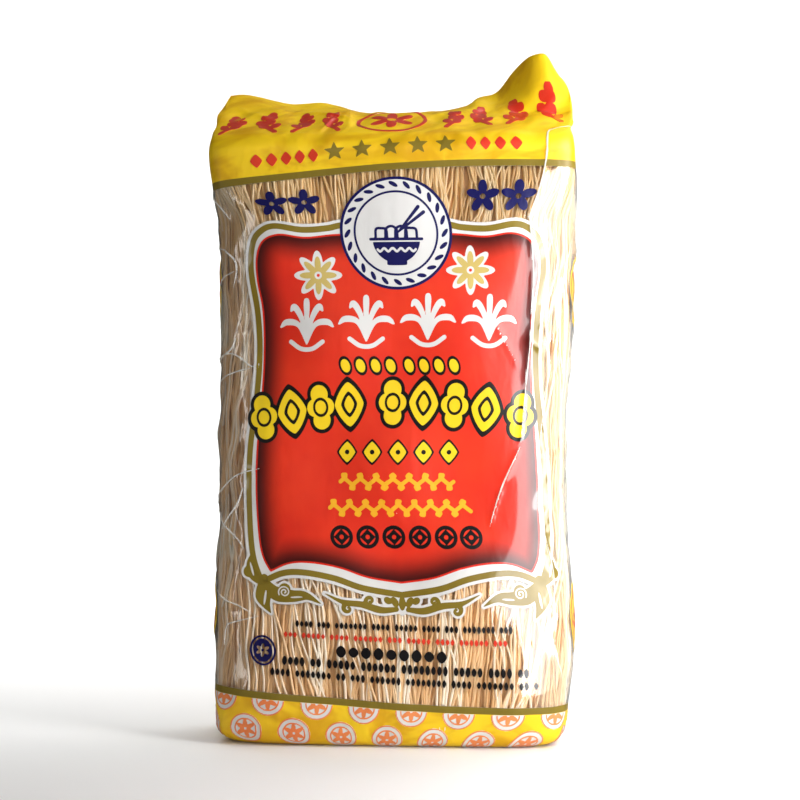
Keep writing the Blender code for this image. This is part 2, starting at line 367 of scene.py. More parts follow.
# Creases of the film: each is a soft ridge along a short line on the skin, in print millimetres
crumple = dict(
    zones=(  # drawn at random: how many, boxes of u and v, height, leaning in degrees, longest
        (40, ((70, 132, 12, 215), (-132, -70, 12, 215)), 1.1, 38, 42),
        (26, bothFaces(80, 262, 300), 1.2, 24, 34),
        (14, bothFaces(58, 20, 240), 0.35, 40, 46),
        (12, bothFaces(100, 2, 24), 0.5, 30, 20),
    ),
    softness=0.12, fadeFrom=0.32, fadeOver=0.13,  # each line's rounding, and where its ends fade
    lowest=-0.25, lowestMoreUp=1.2, highest=2.0,  # the film stays outside the strands
    facets=(  # folds once round the bag, millimetres up for one fold, height, phase
        (19, 47.0, 0.50, 0.1), (-13, 29.0, 0.55, 0.4), (27, -36.0, 0.32, 0.7), (-37, 21.0, 0.22, 0.2),
        (7, 17.0, 0.35, 0.55),
    ),
    headerShare=0.8, sideShare=1.0, baseShare=0.5, sideOff=0.5,
    foldHeight=0.55, foldSpread=0.85,
    folds=(  # the sharp creases that show, as u and v along each
        ((-84, 213), (-75, 211.2), (-69.5, 207), (-68.5, 201.8), (-70.5, 194.9)),
        ((-69, 202), (-76.5, 199.2), (-82, 195), (-83, 188)),
        ((-84, 164.5), (-73, 167), (-66.5, 164.6), (-62.5, 161.7), (-59, 161.5)),
        ((-70, 174), (-73, 168.5), (-83, 163)),
        ((-84, 155), (-69, 159.3), (-62, 160.8)),
        ((-86, 102), (-76.5, 108.8), (-66.5, 115.5), (-55.5, 118.4)),
        ((-85, 101), (-75, 94.4), (-66.5, 87.7), (-63.5, 83.8)),
        ((-76, 92), (-67.3, 102.6), (-64, 110)),
        ((-80, 66), (-74, 62.8), (-66.5, 60.3), (-57.5, 55.7)),
        ((-56.5, 56), (-68, 53), (-72, 50.6), (-73, 42)),
        ((-80, 238), (-73, 231), (-70, 224)),
        ((76, 270), (66, 267), (60, 262), (58.6, 247), (57.4, 224), (59.6, 204), (60.6, 180), (59, 152),
         (57, 128)),
        ((57, 128), (50, 112), (44, 94)),
        ((68, 226), (70, 204), (66.5, 182), (69, 160), (66, 132)),
        ((66, 98), (71, 74), (69, 46), (73, 30)),
        ((78, 214), (73, 190), (77, 150)),
    ),
)


def randomCreases(count, boxes, height, leaning, longest):
    # start points drawn in the boxes, each line leaning from upright by a random angle
    box = np.array(boxes)[rng.integers(0, len(boxes), count)]
    u = box[:, 0] + (box[:, 1] - box[:, 0]) * rng.random(count)
    v = box[:, 2] + (box[:, 3] - box[:, 2]) * rng.random(count)
    angle = np.radians(rng.normal(0, leaning, count))
    length = longest * (0.35 + 0.65 * rng.random(count))
    tall = height * (0.4 + 0.6 * rng.random(count)) * np.where(rng.random(count) < 0.3, -0.6, 1.0)
    return np.stack([u, v, u + length * np.sin(angle), v + length * np.cos(angle),
                     tall, 0.8 + 0.9 * rng.random(count)], -1)


sharpFolds = [(*p, *q, crumple["foldHeight"], crumple["foldSpread"])
              for line in crumple["folds"] for p, q in zip(line, line[1:])]
creases = np.concatenate([np.array(sharpFolds)] + [randomCreases(*zone) for zone in crumple["zones"]])


def crease(u, v):
    # the sum of the ridges: height * exp(-|distance| / spread) along each line, faded at its ends
    total = np.zeros(np.broadcast(u, v).shape)
    for u0, v0, u1, v1, tall, spread in creases:
        length = math.hypot(u1 - u0, v1 - v0)
        du, dv = (u1 - u0) / length, (v1 - v0) / length
        offU = np.mod(u - u0 + girth / 2, girth) - girth / 2
        offV = v - v0
        t = (offU * du + offV * dv) / length
        away = np.abs(offU * dv - offV * du)
        sharp = np.exp(-np.sqrt(away**2 + crumple["softness"]) / spread)
        pastEnd = np.clip(np.abs(t - 0.5) - crumple["fadeFrom"], 0, None)
        total += tall * sharp * np.exp(-((pastEnd / crumple["fadeOver"]) ** 2))
    flat = smoothstep(-3.0, 6.0, v) * (1 - 0.5 * smoothstep(292.0, 316.0, v))
    lowest = crumple["lowest"] - crumple["lowestMoreUp"] * smoothstep(256.0, 266.0, v)
    return np.clip(total + facets(u, v), lowest, crumple["highest"]) * flat


def facets(u, v):
    # triangle waves, height * (|2 frac(s) - 1| - 0.5), strong at the header, the sides and the foot
    turn = u * wholeTurn / girth
    bentU = u + 3.2 * np.sin(v / 14.0 + 1.0) + 1.6 * np.sin(v / 6.3)
    bentV = v + 4.0 * np.sin(9 * turn + 0.8) + 2.0 * np.sin(23 * turn)
    total = 0.0
    for count, up, height, phase in crumple["facets"]:
        s = count * bentU / girth + bentV / up + phase
        total = total + height * (np.abs(2 * (s - np.floor(s)) - 1) - 0.5)
    offSide = np.abs(np.mod(u, girth / 2) - girth / 4)
    beside = (1 - smoothstep(24.0, 38.0, offSide)) * (1 - smoothstep(236.0, 252.0, v))
    zone = np.maximum(crumple["headerShare"] * smoothstep(240.0, 264.0, v), crumple["sideShare"] * beside)
    zone = np.maximum(zone, crumple["baseShare"] * (1 - smoothstep(16.0, 26.0, v)))
    return total * zone + crumple["sideOff"] * beside


def skinNormal(u, v):
    # the cross product of the two slopes of the bare skin, pointing out
    e = 0.25
    n = np.cross(bareSkin(u + e, v) - bareSkin(u - e, v), bareSkin(u, v + e) - bareSkin(u, v - e))
    return n / np.maximum(np.linalg.norm(n, axis=-1, keepdims=True), 1e-12)


ridgeV = float(skinV[np.argmax(skinTable[4] >= 1.0)])


def skinPoint(u, v, lift=0.0):
    # the skin, creased, then moved out by lift in millimetres. Above the ridge the two faces of the header
    # lie together, so both move by the front face's crease, along the front face's normal.
    u, v = np.broadcast_arrays(np.asarray(u, float), np.asarray(v, float))
    joined = smoothstep(ridgeV - 9.0, ridgeV, v)
    fromFront = np.mod(u + girth / 2, girth) - girth / 2
    mirrored = np.sign(fromFront) * (girth / 2 - np.abs(fromFront))
    folded = np.where(np.abs(fromFront) > girth / 4, mirrored, fromFront)
    tip = 1 - smoothstep(0.93, 1.0, np.abs(folded) / (girth / 4 * 0.82))
    own = (crease(u, v) * (1 - joined) + lift) / 1000.0
    shared = crease(folded, v) * joined * tip / 1000.0
    both = skinNormal(folded, v) * shared[..., None]
    return bareSkin(u, v) + skinNormal(u, v) * own[..., None] + both + centring



# Inks and films

def filmBump(start, strength):
    # fine crinkles, drawn out up and down, over softer swells
    fine = noiseAt(start, (1.0, 1.0, 0.45), 210.0, 2.0, 0.5, 0.6)
    soft = noiseAt(start, (1.0, 1.0, 0.3), 46.0, 3.0, 0.5, 1.2)
    height = fine * 0.25 + soft
    return start.node("ShaderNodeBump", None, {"Strength": strength, "Distance": 0.0012, "Height": height})


def inkMaterial(name, colour, other, edge=None, roughness=0.3, alpha=1.0):
    # printed ink under the film's gloss: its colour drifts a little, and the crinkles carry the shine.
    # With an edge colour it darkens over the first millimetres in from its outline, read from the tone.
    material, start, shader = newMaterial(name)
    drift = noiseAt(start, (1.0, 1.0, 1.0), 26.0, 3.0).step(0.3, 0.7)
    body = drift.mix(colour, other)
    if edge:
        depth = start.node("ShaderNodeAttribute", {"attribute_name": "tone"}, output=2)
        body = depth.step(0.5, 13.0).mix(edge, body)
        body = depth.step(0.55, 1.0).mix(colour, body)
    feed(body, shader, "Base Color")
    setInputs(shader, {"Roughness": roughness, "Specular IOR Level": 0.3, "Coat Weight": 0.8,
                       "Coat Roughness": 0.07, "Alpha": alpha})
    feed(filmBump(start, 0.35), shader, "Normal")
    return material


inkColours = dict(
    red=((0.67, 0.022, 0.008, 1), (0.76, 0.038, 0.010, 1), (0.055, 0.005, 0.004, 1)),
    gold=((0.19, 0.13, 0.012, 1), (0.24, 0.17, 0.02, 1)),
    white=((0.66, 0.64, 0.62, 1), (0.74, 0.73, 0.71, 1)),
    navy=((0.005, 0.004, 0.060, 1), (0.007, 0.007, 0.085, 1)),
    black=((0.005, 0.004, 0.005, 1), (0.008, 0.007, 0.007, 1)),
    yellow=((0.84, 0.55, 0.008, 1), (0.88, 0.62, 0.015, 1)),
    orange=((0.82, 0.38, 0.015, 1), (0.88, 0.46, 0.02, 1)),
    coral=((0.80, 0.20, 0.060, 1), (0.84, 0.28, 0.09, 1)),
    scarlet=((0.62, 0.03, 0.012, 1), (0.70, 0.05, 0.02, 1)),
    yellow_gold=((0.52, 0.38, 0.10, 1), (0.60, 0.45, 0.14, 1)),
)
inks = {name: inkMaterial("ink_" + name, *pair) for name, pair in inkColours.items()}
# pale, partly see-through ink laid along the sharp creases as painted highlights
inks["crease"] = inkMaterial("painted_crease_highlight", (0.80, 0.78, 0.70, 1), (0.90, 0.89, 0.84, 1), alpha=0.75)


# The print's own lines: p across and q up the design, which is skewed a little on the bag

printing = dict(skew=0.027, skewFrom=250.0, topSlope=4.2, topBow=5.4, footSlope=-3.7, footBow=-2.6,
                bandBottom=243.8, bandHeight=3.0, baseTop=20.4, baseLine=3.0)


def riseAt(p, v):
    # how much higher a level line of the print runs at p, near each end: slope * sin + bow * (cos - 1)
    angle = p * wholeTurn / girth
    top = printing["topSlope"] * np.sin(angle) + printing["topBow"] * (np.cos(angle) - 1)
    foot = printing["footSlope"] * np.sin(angle) + printing["footBow"] * (np.cos(angle) - 1)
    return top * smoothstep(218.0, 246.0, v) + foot * (1 - smoothstep(30.0, 72.0, v))


def designPlace(u, v, centre=0.0):
    # a place on the skin as the design has it
    p = np.mod(u - centre + girth / 2, girth) - girth / 2
    return p - printing["skew"] * (printing["skewFrom"] - v), v - riseAt(p, v)


print("skin functions ready")


# The film itself

film = dict(columns=480, floorRows=5, baseRows=9, wallRows=122, shoulderRows=10, roofRows=30, headerRows=27)


def filmRows():
    # v of each row, closer together where the skin turns
    top = (bag["blockHeight"] - bag["shoulderRadius"]) * 1000
    foot = np.interp(0.0, skinTable[3][28:], skinV[28:])
    edges = (skinV[0], foot, bag["baseRadius"] * 1000, skinV[np.searchsorted(skinTable[3], top / 1000)],
             skinV[np.argmax(skinTable[4] > 0) - 1], skinV[np.argmax(skinTable[5] > 0) - 1], skinV[-1])
    counts = (film["floorRows"], film["baseRows"], film["wallRows"], film["shoulderRows"],
              film["roofRows"], film["headerRows"])
    rows = [np.linspace(a, b, n + 1)[:-1] for a, b, n in zip(edges, edges[1:], counts)]
    return np.concatenate(rows + [[edges[-1]]])[1:]


def filmMaterial():
    # clear film that mirrors more where it turns away, with the yellow ends printed solid
    material, start, shader = newMaterial("printed_clear_film")
    uv = start.node("ShaderNodeUVMap", {"uv_map": "print"})
    split = uv.node("ShaderNodeSeparateXYZ", None, {0: uv})
    u = split * 1000.0
    v = Wire(start.tree, split.socket.node.outputs[1]) * 1000.0
    angle = u * (wholeTurn / girth)
    sine, cosine = angle.sine(), (angle + math.pi / 2).sine() - 1.0
    top = v - sine * printing["topSlope"] - cosine * printing["topBow"] - printing["bandBottom"]
    foot = printing["baseTop"] + sine * printing["footSlope"] + cosine * printing["footBow"] - v
    edge = 0.12
    header = top.step(-edge, edge)
    base = foot.step(-edge, edge)
    solid = header.most(base)
    band = (1.0 - (top - printing["bandHeight"]).step(-edge, edge)) * header
    line = (1.0 - (foot - printing["baseLine"]).step(-edge, edge)) * base
    drift = noiseAt(start, (1.0, 1.0, 1.6), 24.0, 3.0, 0.6, 1.2).step(0.34, 0.56)
    yellow = drift.mix((0.70, 0.37, 0.003, 1), (0.90, 0.59, 0.010, 1))
    ink = band.most(line).mix(yellow, (0.20, 0.14, 0.012, 1))
    # the folded film beside the front and the back is hazy in patches
    beside = (0.0 - (angle * 2.0 + math.pi / 2).sine()).step(0.28, 0.62)
    cloud = noiseAt(start, (1.0, 1.0, 0.45), 52.0, 2.0, 0.5, 0.8).step(0.44, 0.56)
    haze = beside * (cloud * 0.75 + 0.25) * (1.0 - solid)
    clearColour = haze.mix((1, 1, 1, 1), (0.60, 0.58, 0.47, 1))
    feed(solid.mix(clearColour, ink), shader, "Base Color")
    feed((1.0 - solid) * (1.0 - haze), shader, "Metallic")
    feed(solid * 0.32 + 0.08, shader, "Roughness")
    feed((1.0 - solid) * 0.3 + 0.04, shader, "Coat Weight")
    setInputs(shader, {"Coat Roughness": 0.08, "Specular IOR Level": 0.3})
    bump = filmBump(start, 0.45)
    feed(bump, shader, "Normal")
    facing = start.node("ShaderNodeFresnel", None, {"IOR": 1.45, "Normal": bump})
    share = (facing * 1.9 + haze * 0.22 + 0.015).least(1.0)
    clear = start.node("ShaderNodeBsdfTransparent")
    shadow = start.node("ShaderNodeLightPath", output=1)  # light passes clear film unweakened
    share = share * (1.0 - shadow)
    mixed = start.node("ShaderNodeMixShader", None, {0: share.most(solid), 1: clear})
    mixer = mixed.socket.node
    start.tree.links.new(shader.outputs[0], mixer.inputs[2])
    out = start.tree.nodes["Material Output"]
    start.tree.links.new(mixed.socket, out.inputs["Surface"])
    return material


def makeFilm():
    # the skin's rows and columns as one closed mesh: a fan under the base, front joined to back on top
    columns = film["columns"]
    rows = filmRows()
    u = np.arange(columns) * girth / columns
    gridU, gridV = np.meshgrid(u, rows)
    points = skinPoint(gridU, gridV)
    index = np.arange(gridU.size).reshape(gridU.shape)
    half = columns // 2
    rim = index[-1]
    # the top edge: right half then left half, each front column joined to the back column across from it
    quarter = columns // 4
    a = np.arange(quarter - 1)
    rightTop = np.stack([rim[a], rim[a + 1], rim[half - a - 1], rim[half - a]], -1)
    leftTop = np.stack([rim[-a], rim[half + a], rim[half + a + 1], rim[-a - 1]], -1)
    tips = np.array([[rim[quarter - 1], rim[quarter], rim[quarter + 1]],
                     [rim[half + quarter - 1], rim[half + quarter], rim[half + quarter + 1]]])
    flat = np.vstack([points.reshape(-1, 3), np.zeros((1, 3))])
    faces = [bandFaces(index), rightTop, leftTop, fanFaces(index.size, index[0]), tips]
    piece = makeMesh("film", flat, faces, filmMaterial())
    layer = piece.data.uv_layers.new(name="print")
    vertex = np.empty(len(piece.data.loops), np.int32)
    piece.data.loops.foreach_get("vertex_index", vertex)
    uv = np.vstack([np.stack([gridU, gridV], -1).reshape(-1, 2), [[0.0, skinV[0]]]])[vertex] / 1000.0
    # across the seam the last column is joined to the first, so its far side reads one girth on
    starts = np.empty(len(piece.data.polygons), np.int32)
    piece.data.polygons.foreach_get("loop_start", starts)
    widest = np.repeat(np.maximum.reduceat(uv[:, 0], starts), np.diff(np.append(starts, len(vertex))))
    wrap = (widest - uv[:, 0]) * 1000.0 > girth / 2
    uv[wrap, 0] += girth / 1000.0
    layer.data.foreach_set("uv", uv.astype(np.float32).ravel())
    return standFor(piece)


filmPiece = makeFilm()
print("film", len(filmPiece.data.polygons), "faces")


# Shapes of the print. Each is a function of p and q, in millimetres, that is below zero inside.

def disc(p0, q0, radius):
    # the distance to the middle, less the radius
    return lambda p, q: np.hypot(p - p0, q - q0) - radius


def oval(p0, q0, halfWide, halfTall, turn=0.0, power=2.0):
    # (|x/a|^n + |y/b|^n)^(1/n) - 1, in units of the smaller half size
    c, s = math.cos(math.radians(turn)), math.sin(math.radians(turn))

    def field(p, q):
        x, y = (p - p0) * c + (q - q0) * s, (q - q0) * c - (p - p0) * s
        size = (np.abs(x / halfWide) ** power + np.abs(y / halfTall) ** power) ** (1 / power)
        return (size - 1) * min(halfWide, halfTall)
    return field


def star(p0, q0, radius, points=5, inner=0.42):
    # the distance to the straight edge between a point and the notch beside it
    def field(p, q):
        x, y = p - p0, q - q0
        wedge = math.pi / points
        angle = np.abs(np.mod(np.arctan2(x, y) + wedge, 2 * wedge) - wedge)
        r = np.hypot(x, y)
        px, py = r * np.cos(angle), r * np.sin(angle)
        nx, ny = radius * inner * math.cos(wedge), radius * inner * math.sin(wedge)
        ex, ey = nx - radius, ny
        long = math.hypot(ex, ey)
        return ((px - radius) * ey - py * ex) / long
    return field


def stroke(line, half):
    # the distance to a line of points, less half its width, which may change from point to point
    line = np.asarray(line, float)
    half = np.broadcast_to(np.asarray(half, float), len(line))

    def field(p, q):
        best = np.full(np.broadcast(p, q).shape, 1e9)
        for (x0, y0), (x1, y1), h0, h1 in zip(line, line[1:], half, half[1:]):
            dx, dy = x1 - x0, y1 - y0
            t = np.clip(((p - x0) * dx + (q - y0) * dy) / max(dx * dx + dy * dy, 1e-9), 0, 1)
            best = np.minimum(best, np.hypot(p - x0 - t * dx, q - y0 - t * dy) - (h0 + (h1 - h0) * t))
        return best
    return field


def filled(line):
    # the distance to a closed line, below zero where a level ray crosses it an odd number of times
    line = np.asarray(line, float)
    edge = stroke(np.vstack([line, line[:1]]), 0.0)

    def field(p, q):
        odd = np.zeros(np.broadcast(p, q).shape, bool)
        for (x0, y0), (x1, y1) in zip(line, np.roll(line, -1, axis=0)):
            if y0 != y1:
                odd ^= ((y0 > q) != (y1 > q)) & (p < (x1 - x0) * (q - y0) / (y1 - y0) + x0)
        distance = edge(p, q)
        return np.where(odd, -distance, distance)
    return field


def union(*fields):
    # inside any of them: the least of the fields
    return lambda p, q: np.minimum.reduce([f(p, q) for f in fields])


def without(field, *cuts):
    # inside the field and outside the cuts: the most of the field and each -cut
    return lambda p, q: np.maximum.reduce([field(p, q)] + [-cut(p, q) for cut in cuts])


def within(*fields):
    # inside all of them: the most of the fields
    return lambda p, q: np.maximum.reduce([f(p, q) for f in fields])


def grown(field, by):
    # the outline moved out: the field less so many millimetres
    return lambda p, q: field(p, q) - by


def outlineOnly(field, half):
    # a band along the outline: |field| less half its width
    return lambda p, q: np.abs(field(p, q)) - half


def mirroredField(field):
    # the field and its mirror image about p = 0
    return lambda p, q: np.minimum(field(p, q), field(-p, q))


def curveThrough(points, steps=8):
    # Catmull-Rom through the points, the ends held
    pts = np.asarray(points, float)
    padded = np.vstack([2 * pts[0] - pts[1], pts, 2 * pts[-1] - pts[-2]])
    t = np.linspace(0, 1, steps, endpoint=False)[:, None]
    spans = [0.5 * ((2 * b) + (c - a) * t + (2 * a - 5 * b + 4 * c - d) * t**2
                    + (3 * b - a - 3 * c + d) * t**3)
             for a, b, c, d in zip(padded, padded[1:], padded[2:], padded[3:])]
    return np.vstack(spans + [pts[-1:]])


def tapered(points, shares, halves):
    # a stroke along the curve, its half width read from the shares of the way along
    line = curveThrough(points)
    return stroke(line, np.interp(np.linspace(0, 1, len(line)), shares, halves))


def placed(points, p0, q0, size):
    # points in units of the drawing's size, put about its middle
    return [(p0 + size * x, q0 + size * y) for x, y in points]


def spiral(p0, q0, radius, turns, start, hand=1.0, steps=22):
    # a curl that tightens towards its middle: radius * (1 - 0.85 * share)
    share = np.linspace(0, 1, steps)
    angle = math.radians(start) + hand * share * turns * wholeTurn
    r = radius * (1 - 0.85 * share)
    return np.stack([p0 + r * np.cos(angle), q0 + r * np.sin(angle)], -1)


# Laying ink: a fine grid is cut where the field passes zero, wrapped on the skin and given a thin edge

def cutGrid(field, u0, u1, v0, v1, step):
    # triangles that the outline crosses are cut where the field is zero, at value / (value - other)
    us = np.linspace(u0, u1, max(3, int(round((u1 - u0) / step)) + 1))
    vs = np.linspace(v0, v1, max(3, int(round((v1 - v0) / step)) + 1))
    u, v = (grid.ravel() for grid in np.meshgrid(us, vs, indexing="ij"))
    value = field(u, v)
    value = np.where(np.abs(value) < 1e-4, 1e-4, value)
    index = np.arange(len(u)).reshape(len(us), len(vs))
    a, b, c, d = index[:-1, :-1], index[1:, :-1], index[1:, 1:], index[:-1, 1:]
    triangles = np.concatenate([np.stack(t, -1).reshape(-1, 3) for t in ((a, b, c), (a, c, d))])
    inside = value < 0
    held = inside[triangles]
    count = held.sum(1)

    def oddFirst(chosen, odd):
        # the triangle's corners turned round so that the odd one comes first
        turned = (np.argmax(odd, 1)[:, None] + np.arange(3)) % 3
        return np.take_along_axis(chosen, turned, 1)

    whole = triangles[count == 3]
    one = oddFirst(triangles[count == 1], held[count == 1])
    two = oddFirst(triangles[count == 2], ~held[count == 2])
    pairs = np.concatenate([one[:, [0, 1]], one[:, [0, 2]], two[:, [0, 1]], two[:, [0, 2]]])
    key = pairs.min(1) * len(u) + pairs.max(1) if len(pairs) else np.zeros(0, np.int64)
    edges, place = np.unique(key, return_inverse=True)
    low, high = edges // len(u), edges % len(u)
    share = np.clip(value[low] / (value[low] - value[high]), 0.03, 0.97)
    allU = np.concatenate([u, u[low] + (u[high] - u[low]) * share])
    allV = np.concatenate([v, v[low] + (v[high] - v[low]) * share])
    first = place.ravel() + len(u)
    n1, n2 = len(one), len(two)
    x1, x2 = first[:n1], first[n1:2 * n1]
    y1, y2 = first[2 * n1:2 * n1 + n2], first[2 * n1 + n2:]
    corner = np.stack([one[:, 0], x1, x2], -1)
    quads = np.stack([y1, two[:, 1], two[:, 2], y2], -1)
    faces = np.concatenate([whole, corner, quads[:, [0, 1, 2]], quads[:, [0, 2, 3]]])
    used, faces = np.unique(faces, return_inverse=True)
    depth = np.concatenate([-value, 0 * share])  # how far in from the outline, by the field
    return allU[used], allV[used], faces.reshape(-1, 3), depth[used]


def skinPlace(p, q, centre):
    # the design's place on the skin, found by three rounds of correction
    v = q
    for _ in range(3):
        away = p + printing["skew"] * (printing["skewFrom"] - v)
        v = q + riseAt(away, v)
    return centre + away, v


inkBack = -0.03  # an ink's inner side lies this far inside the skin, in millimetres


def laySlabs(name, ink, lift, patches):
    # a thin closed slab of ink for each patch, which is (field of u and v, u0, u1, v0, v1, step)
    allPoints, allFaces, tones, used = [], [], [], 0
    for field, u0, u1, v0, v1, step in patches:
        gu, gv, faces, depth = cutGrid(field, u0, u1, v0, v1, step)
        if not len(faces):
            continue
        n = len(gu)
        directed = np.concatenate([faces[:, [0, 1]], faces[:, [1, 2]], faces[:, [2, 0]]])
        rim = directed[~np.isin(directed[:, 0] * n + directed[:, 1], directed[:, 1] * n + directed[:, 0])]
        edge = np.stack([rim[:, 1], rim[:, 0], rim[:, 0] + n, rim[:, 1] + n], -1)
        edge = np.concatenate([edge[:, [0, 1, 2]], edge[:, [0, 2, 3]]])
        allPoints += [skinPoint(gu, gv, lift), skinPoint(gu, gv, inkBack)]
        tones += [depth, depth]
        allFaces += [faces + used, faces[:, ::-1] + n + used, edge + used]
        used += 2 * n
    piece = makeMesh(name, np.vstack(allPoints), [np.vstack(allFaces)], inks[ink])
    if ink == "red":
        addTone(piece, np.concatenate(tones))
    piece.data.set_sharp_from_angle(angle=math.radians(50))
    print(name, len(piece.data.polygons), "faces")
    return standFor(piece)


def layInk(name, ink, lift, motifs, centre=0.0):
    # motifs are (field, p0, p1, q0, q1, step) in the design's millimetres
    def patch(field, p0, p1, q0, q1, step):
        middle = (p0 + p1) / 2
        ps, qs = np.array([p0, p1, p1, p0, middle, middle]), np.array([q0, q0, q1, q1, q0, q1])
        u, v = skinPlace(ps, qs, centre)
        onSkin = lambda gu, gv: field(*designPlace(gu, gv, centre))
        return onSkin, u.min() - 1, u.max() + 1, v.min() - 1, v.max() + 1, step
    return laySlabs(name, ink, lift, [patch(*motif) for motif in motifs])


def layRound(name, ink, lift, made, cut=1e3):
    # each mark is laid about its own middle, so the design's tilt does not shear it, and stops at cut
    def patch(p0, q0, half, step, field):
        v0 = q0 + float(riseAt(p0, q0))
        onSkin = lambda gu, gv: np.maximum(field(gu, gv - v0 + q0), gv - riseAt(gu, gv) - cut)
        return onSkin, p0 - half, p0 + half, v0 - half, v0 + half, step
    return laySlabs(name, ink, lift, [patch(*mark) for mark in made])


# The panel: a scroll frame of gold on white round a red field, alike on both sides of its middle

panel = dict(
    redHalf=((0, 217), (24, 217), (38, 215.8), (49, 217.2), (56.6, 214.4), (60.2, 207), (60.6, 197),
             (59.1, 185), (58.9, 165), (59.6, 149), (60.8, 128), (61.8, 107), (61.4, 90), (60, 81),
             (56.8, 74.6)),
    redFoot=((56.8, 74.6), (48, 78.2), (38, 78.6), (26, 76.5), (14, 72.5), (0, 70.3)),
    goldHalf=((0, 220.8), (20, 220.8), (28, 219.4), (38.5, 218.8), (49.5, 220.6), (55.5, 218.6),
              (59.8, 213.5),
              (61.8, 202), (60.0, 182), (59.8, 160), (63, 123), (64.0, 100), (63.2, 82), (59.8, 70.2)),
    goldFoot=((59.8, 70.2), (50.5, 74.2), (41, 74.7), (28, 72.4), (16, 68.3), (0, 65.6)),
    goldWidth=2.6, casing=1.3, goldStretch=1.018,
)


def closedOutline(half, foot):
    # the right half from the top down, then its mirror image back up
    right = np.vstack([curveThrough(half)[:-1], curveThrough(foot)])
    return np.vstack([right, (right * [-1, 1])[-2:0:-1]])


redShape = filled(closedOutline(panel["redHalf"], panel["redFoot"]))
goldOutline = closedOutline(panel["goldHalf"], panel["goldFoot"]) * [panel["goldStretch"], 1.0]
goldShape = filled(goldOutline)
goldLine = stroke(np.vstack([goldOutline, goldOutline[:1]]), panel["goldWidth"] / 2)

# Scrolls at the two lower corners, and a leafy one under the middle
cornerLeaves = union(
    tapered([(60, 70), (54.5, 65.4), (47.5, 64.4), (41, 64.6), (34.5, 61.4)],
            (0, 0.3, 0.65, 1), (2.2, 3.3, 2.3, 0.15)),
    tapered([(59.6, 72), (60.4, 66), (59.4, 61), (56.8, 56.2)], (0, 0.45, 1), (1.8, 3.5, 0.15)),
    tapered([(60.4, 70), (64.4, 73.4), (65.8, 78.4), (63.6, 84)], (0, 0.4, 1), (1.6, 2.3, 0.2)),
    disc(50.6, 67.4, 2.6), disc(66.4, 74.6, 2.4),
)
cornerScroll = without(cornerLeaves, stroke(spiral(50.8, 66.2, 2.7, 1.8, -30, steps=40), 0.30),
                       oval(59.4, 63.4, 0.5, 3.6, 8), oval(65.0, 75.8, 0.5, 3.2, -14),
                       oval(45.4, 64.0, 0.4, 3.0, 86))
footScroll = union(
    *[oval(x, 62.2 + 0.10 * abs(x) ** 1.3, 1.4, 3.0 - 0.2 * abs(x), -9.0 * x) for x in (0.0, 3.2, 6.0)],
    tapered([(2.5, 59.6), (9, 59.2), (17, 61.4), (25, 62.4), (33.0, 66.0)],
            (0, 0.3, 0.7, 1), (1.0, 1.5, 1.2, 0.15)),
    stroke(spiral(13.6, 63.0, 2.2, 1.1, -80), np.linspace(1.0, 0.45, 22)),
    stroke(spiral(23.0, 59.6, 2.3, 1.0, 90, -1), np.linspace(1.1, 0.4, 22)),
)
scrolls = ((mirroredField(cornerScroll), -72, -32, 53, 88), (mirroredField(cornerScroll), 32, 72, 53, 88),
           (mirroredField(footScroll), -36, 36, 52, 68))
frameBox = (-68, 68, 62, 226)


def layPanel(names, lifts, steps, centre=0.0):
    # white casing, gold frame and red field; steps for casing, its scrolls, frame, its scrolls, field
    def scrollMotifs(grow, step):
        # the scrolls as motifs, each grown by so much
        return [(grown(field, grow), p0 - grow, p1 + grow, q0 - grow, q1 + grow, step)
                for field, p0, p1, q0, q1 in scrolls]

    casing = grown(goldShape, panel["goldWidth"] / 2 + panel["casing"])
    layInk(names[0], "white", lifts[0], [(casing, *frameBox, steps[0])] + scrollMotifs(1.0, steps[1]), centre)
    layInk(names[1], "gold", lifts[1], [(goldLine, *frameBox, steps[2])] + scrollMotifs(0.0, steps[3]),
           centre)
    layInk(names[2], "red", lifts[2], [(redShape, *frameBox, steps[4])], centre)


layPanel(("print_white_casing", "print_gold_frame", "print_red_field"), (0.04, 0.09, 0.08),
         (1.0, 0.5, 0.6, 0.4, 1.1))


# Painted highlights: thin pale lines of see-through ink along the film's sharp creases

def creaseLine(line):
    # half width 0.05 + 0.3 * sin from end to end, times a random share at each point
    path = curveThrough(line)
    swell = np.sin(math.pi * np.linspace(0.05, 0.95, len(path)))
    wide = 0.05 + 0.30 * swell * rng.uniform(0.5, 1.1, len(path))
    low, high = path.min(0) - 1.0, path.max(0) + 1.0
    return stroke(path, wide), low[0], high[0], low[1], high[1], 0.3


laySlabs("painted_crease_highlights", "crease", 0.19, [creaseLine(line) for line in crumple["folds"]])


# The round emblem: a bowl of noodles inside two rings with a wreath of grains between them

def bowlOfNoodles(p0, q0, size):
    # half a disc for the bowl, its foot, four loops of noodle over the rim, and two chopsticks
    def line(points, half, curve=lambda path: path):
        return stroke(curve(placed(points, p0, q0, size)), np.multiply(half, size))

    bowl = within(disc(p0, q0, size), lambda p, q: q - (q0 - size * 0.12))
    foot = oval(p0, q0 - size, size * 0.42, size * 0.10, power=6)
    loops = [line([(x - 0.24, 0.08), (x - 0.20, 0.42), (x + 0.02, 0.58 - 0.2 * abs(x)), (x + 0.22, 0.40),
                   (x + 0.25, 0.08)], 0.055, curveThrough) for x in (-0.62, -0.2, 0.2, 0.62)]
    sticks = [line([(0.1, 0.3), (1.05 + gap, 1.25 - gap)], (0.04, 0.075)) for gap in (-0.08, 0.14)]
    wave = line([(x, -0.45 - 0.07 * math.cos(x * 18)) for x in np.linspace(-0.8, 0.8, 33)], 0.05)
    return union(line([(-1.08, 0), (1.08, 0)], 0.06), without(bowl, wave), foot, *loops, *sticks)


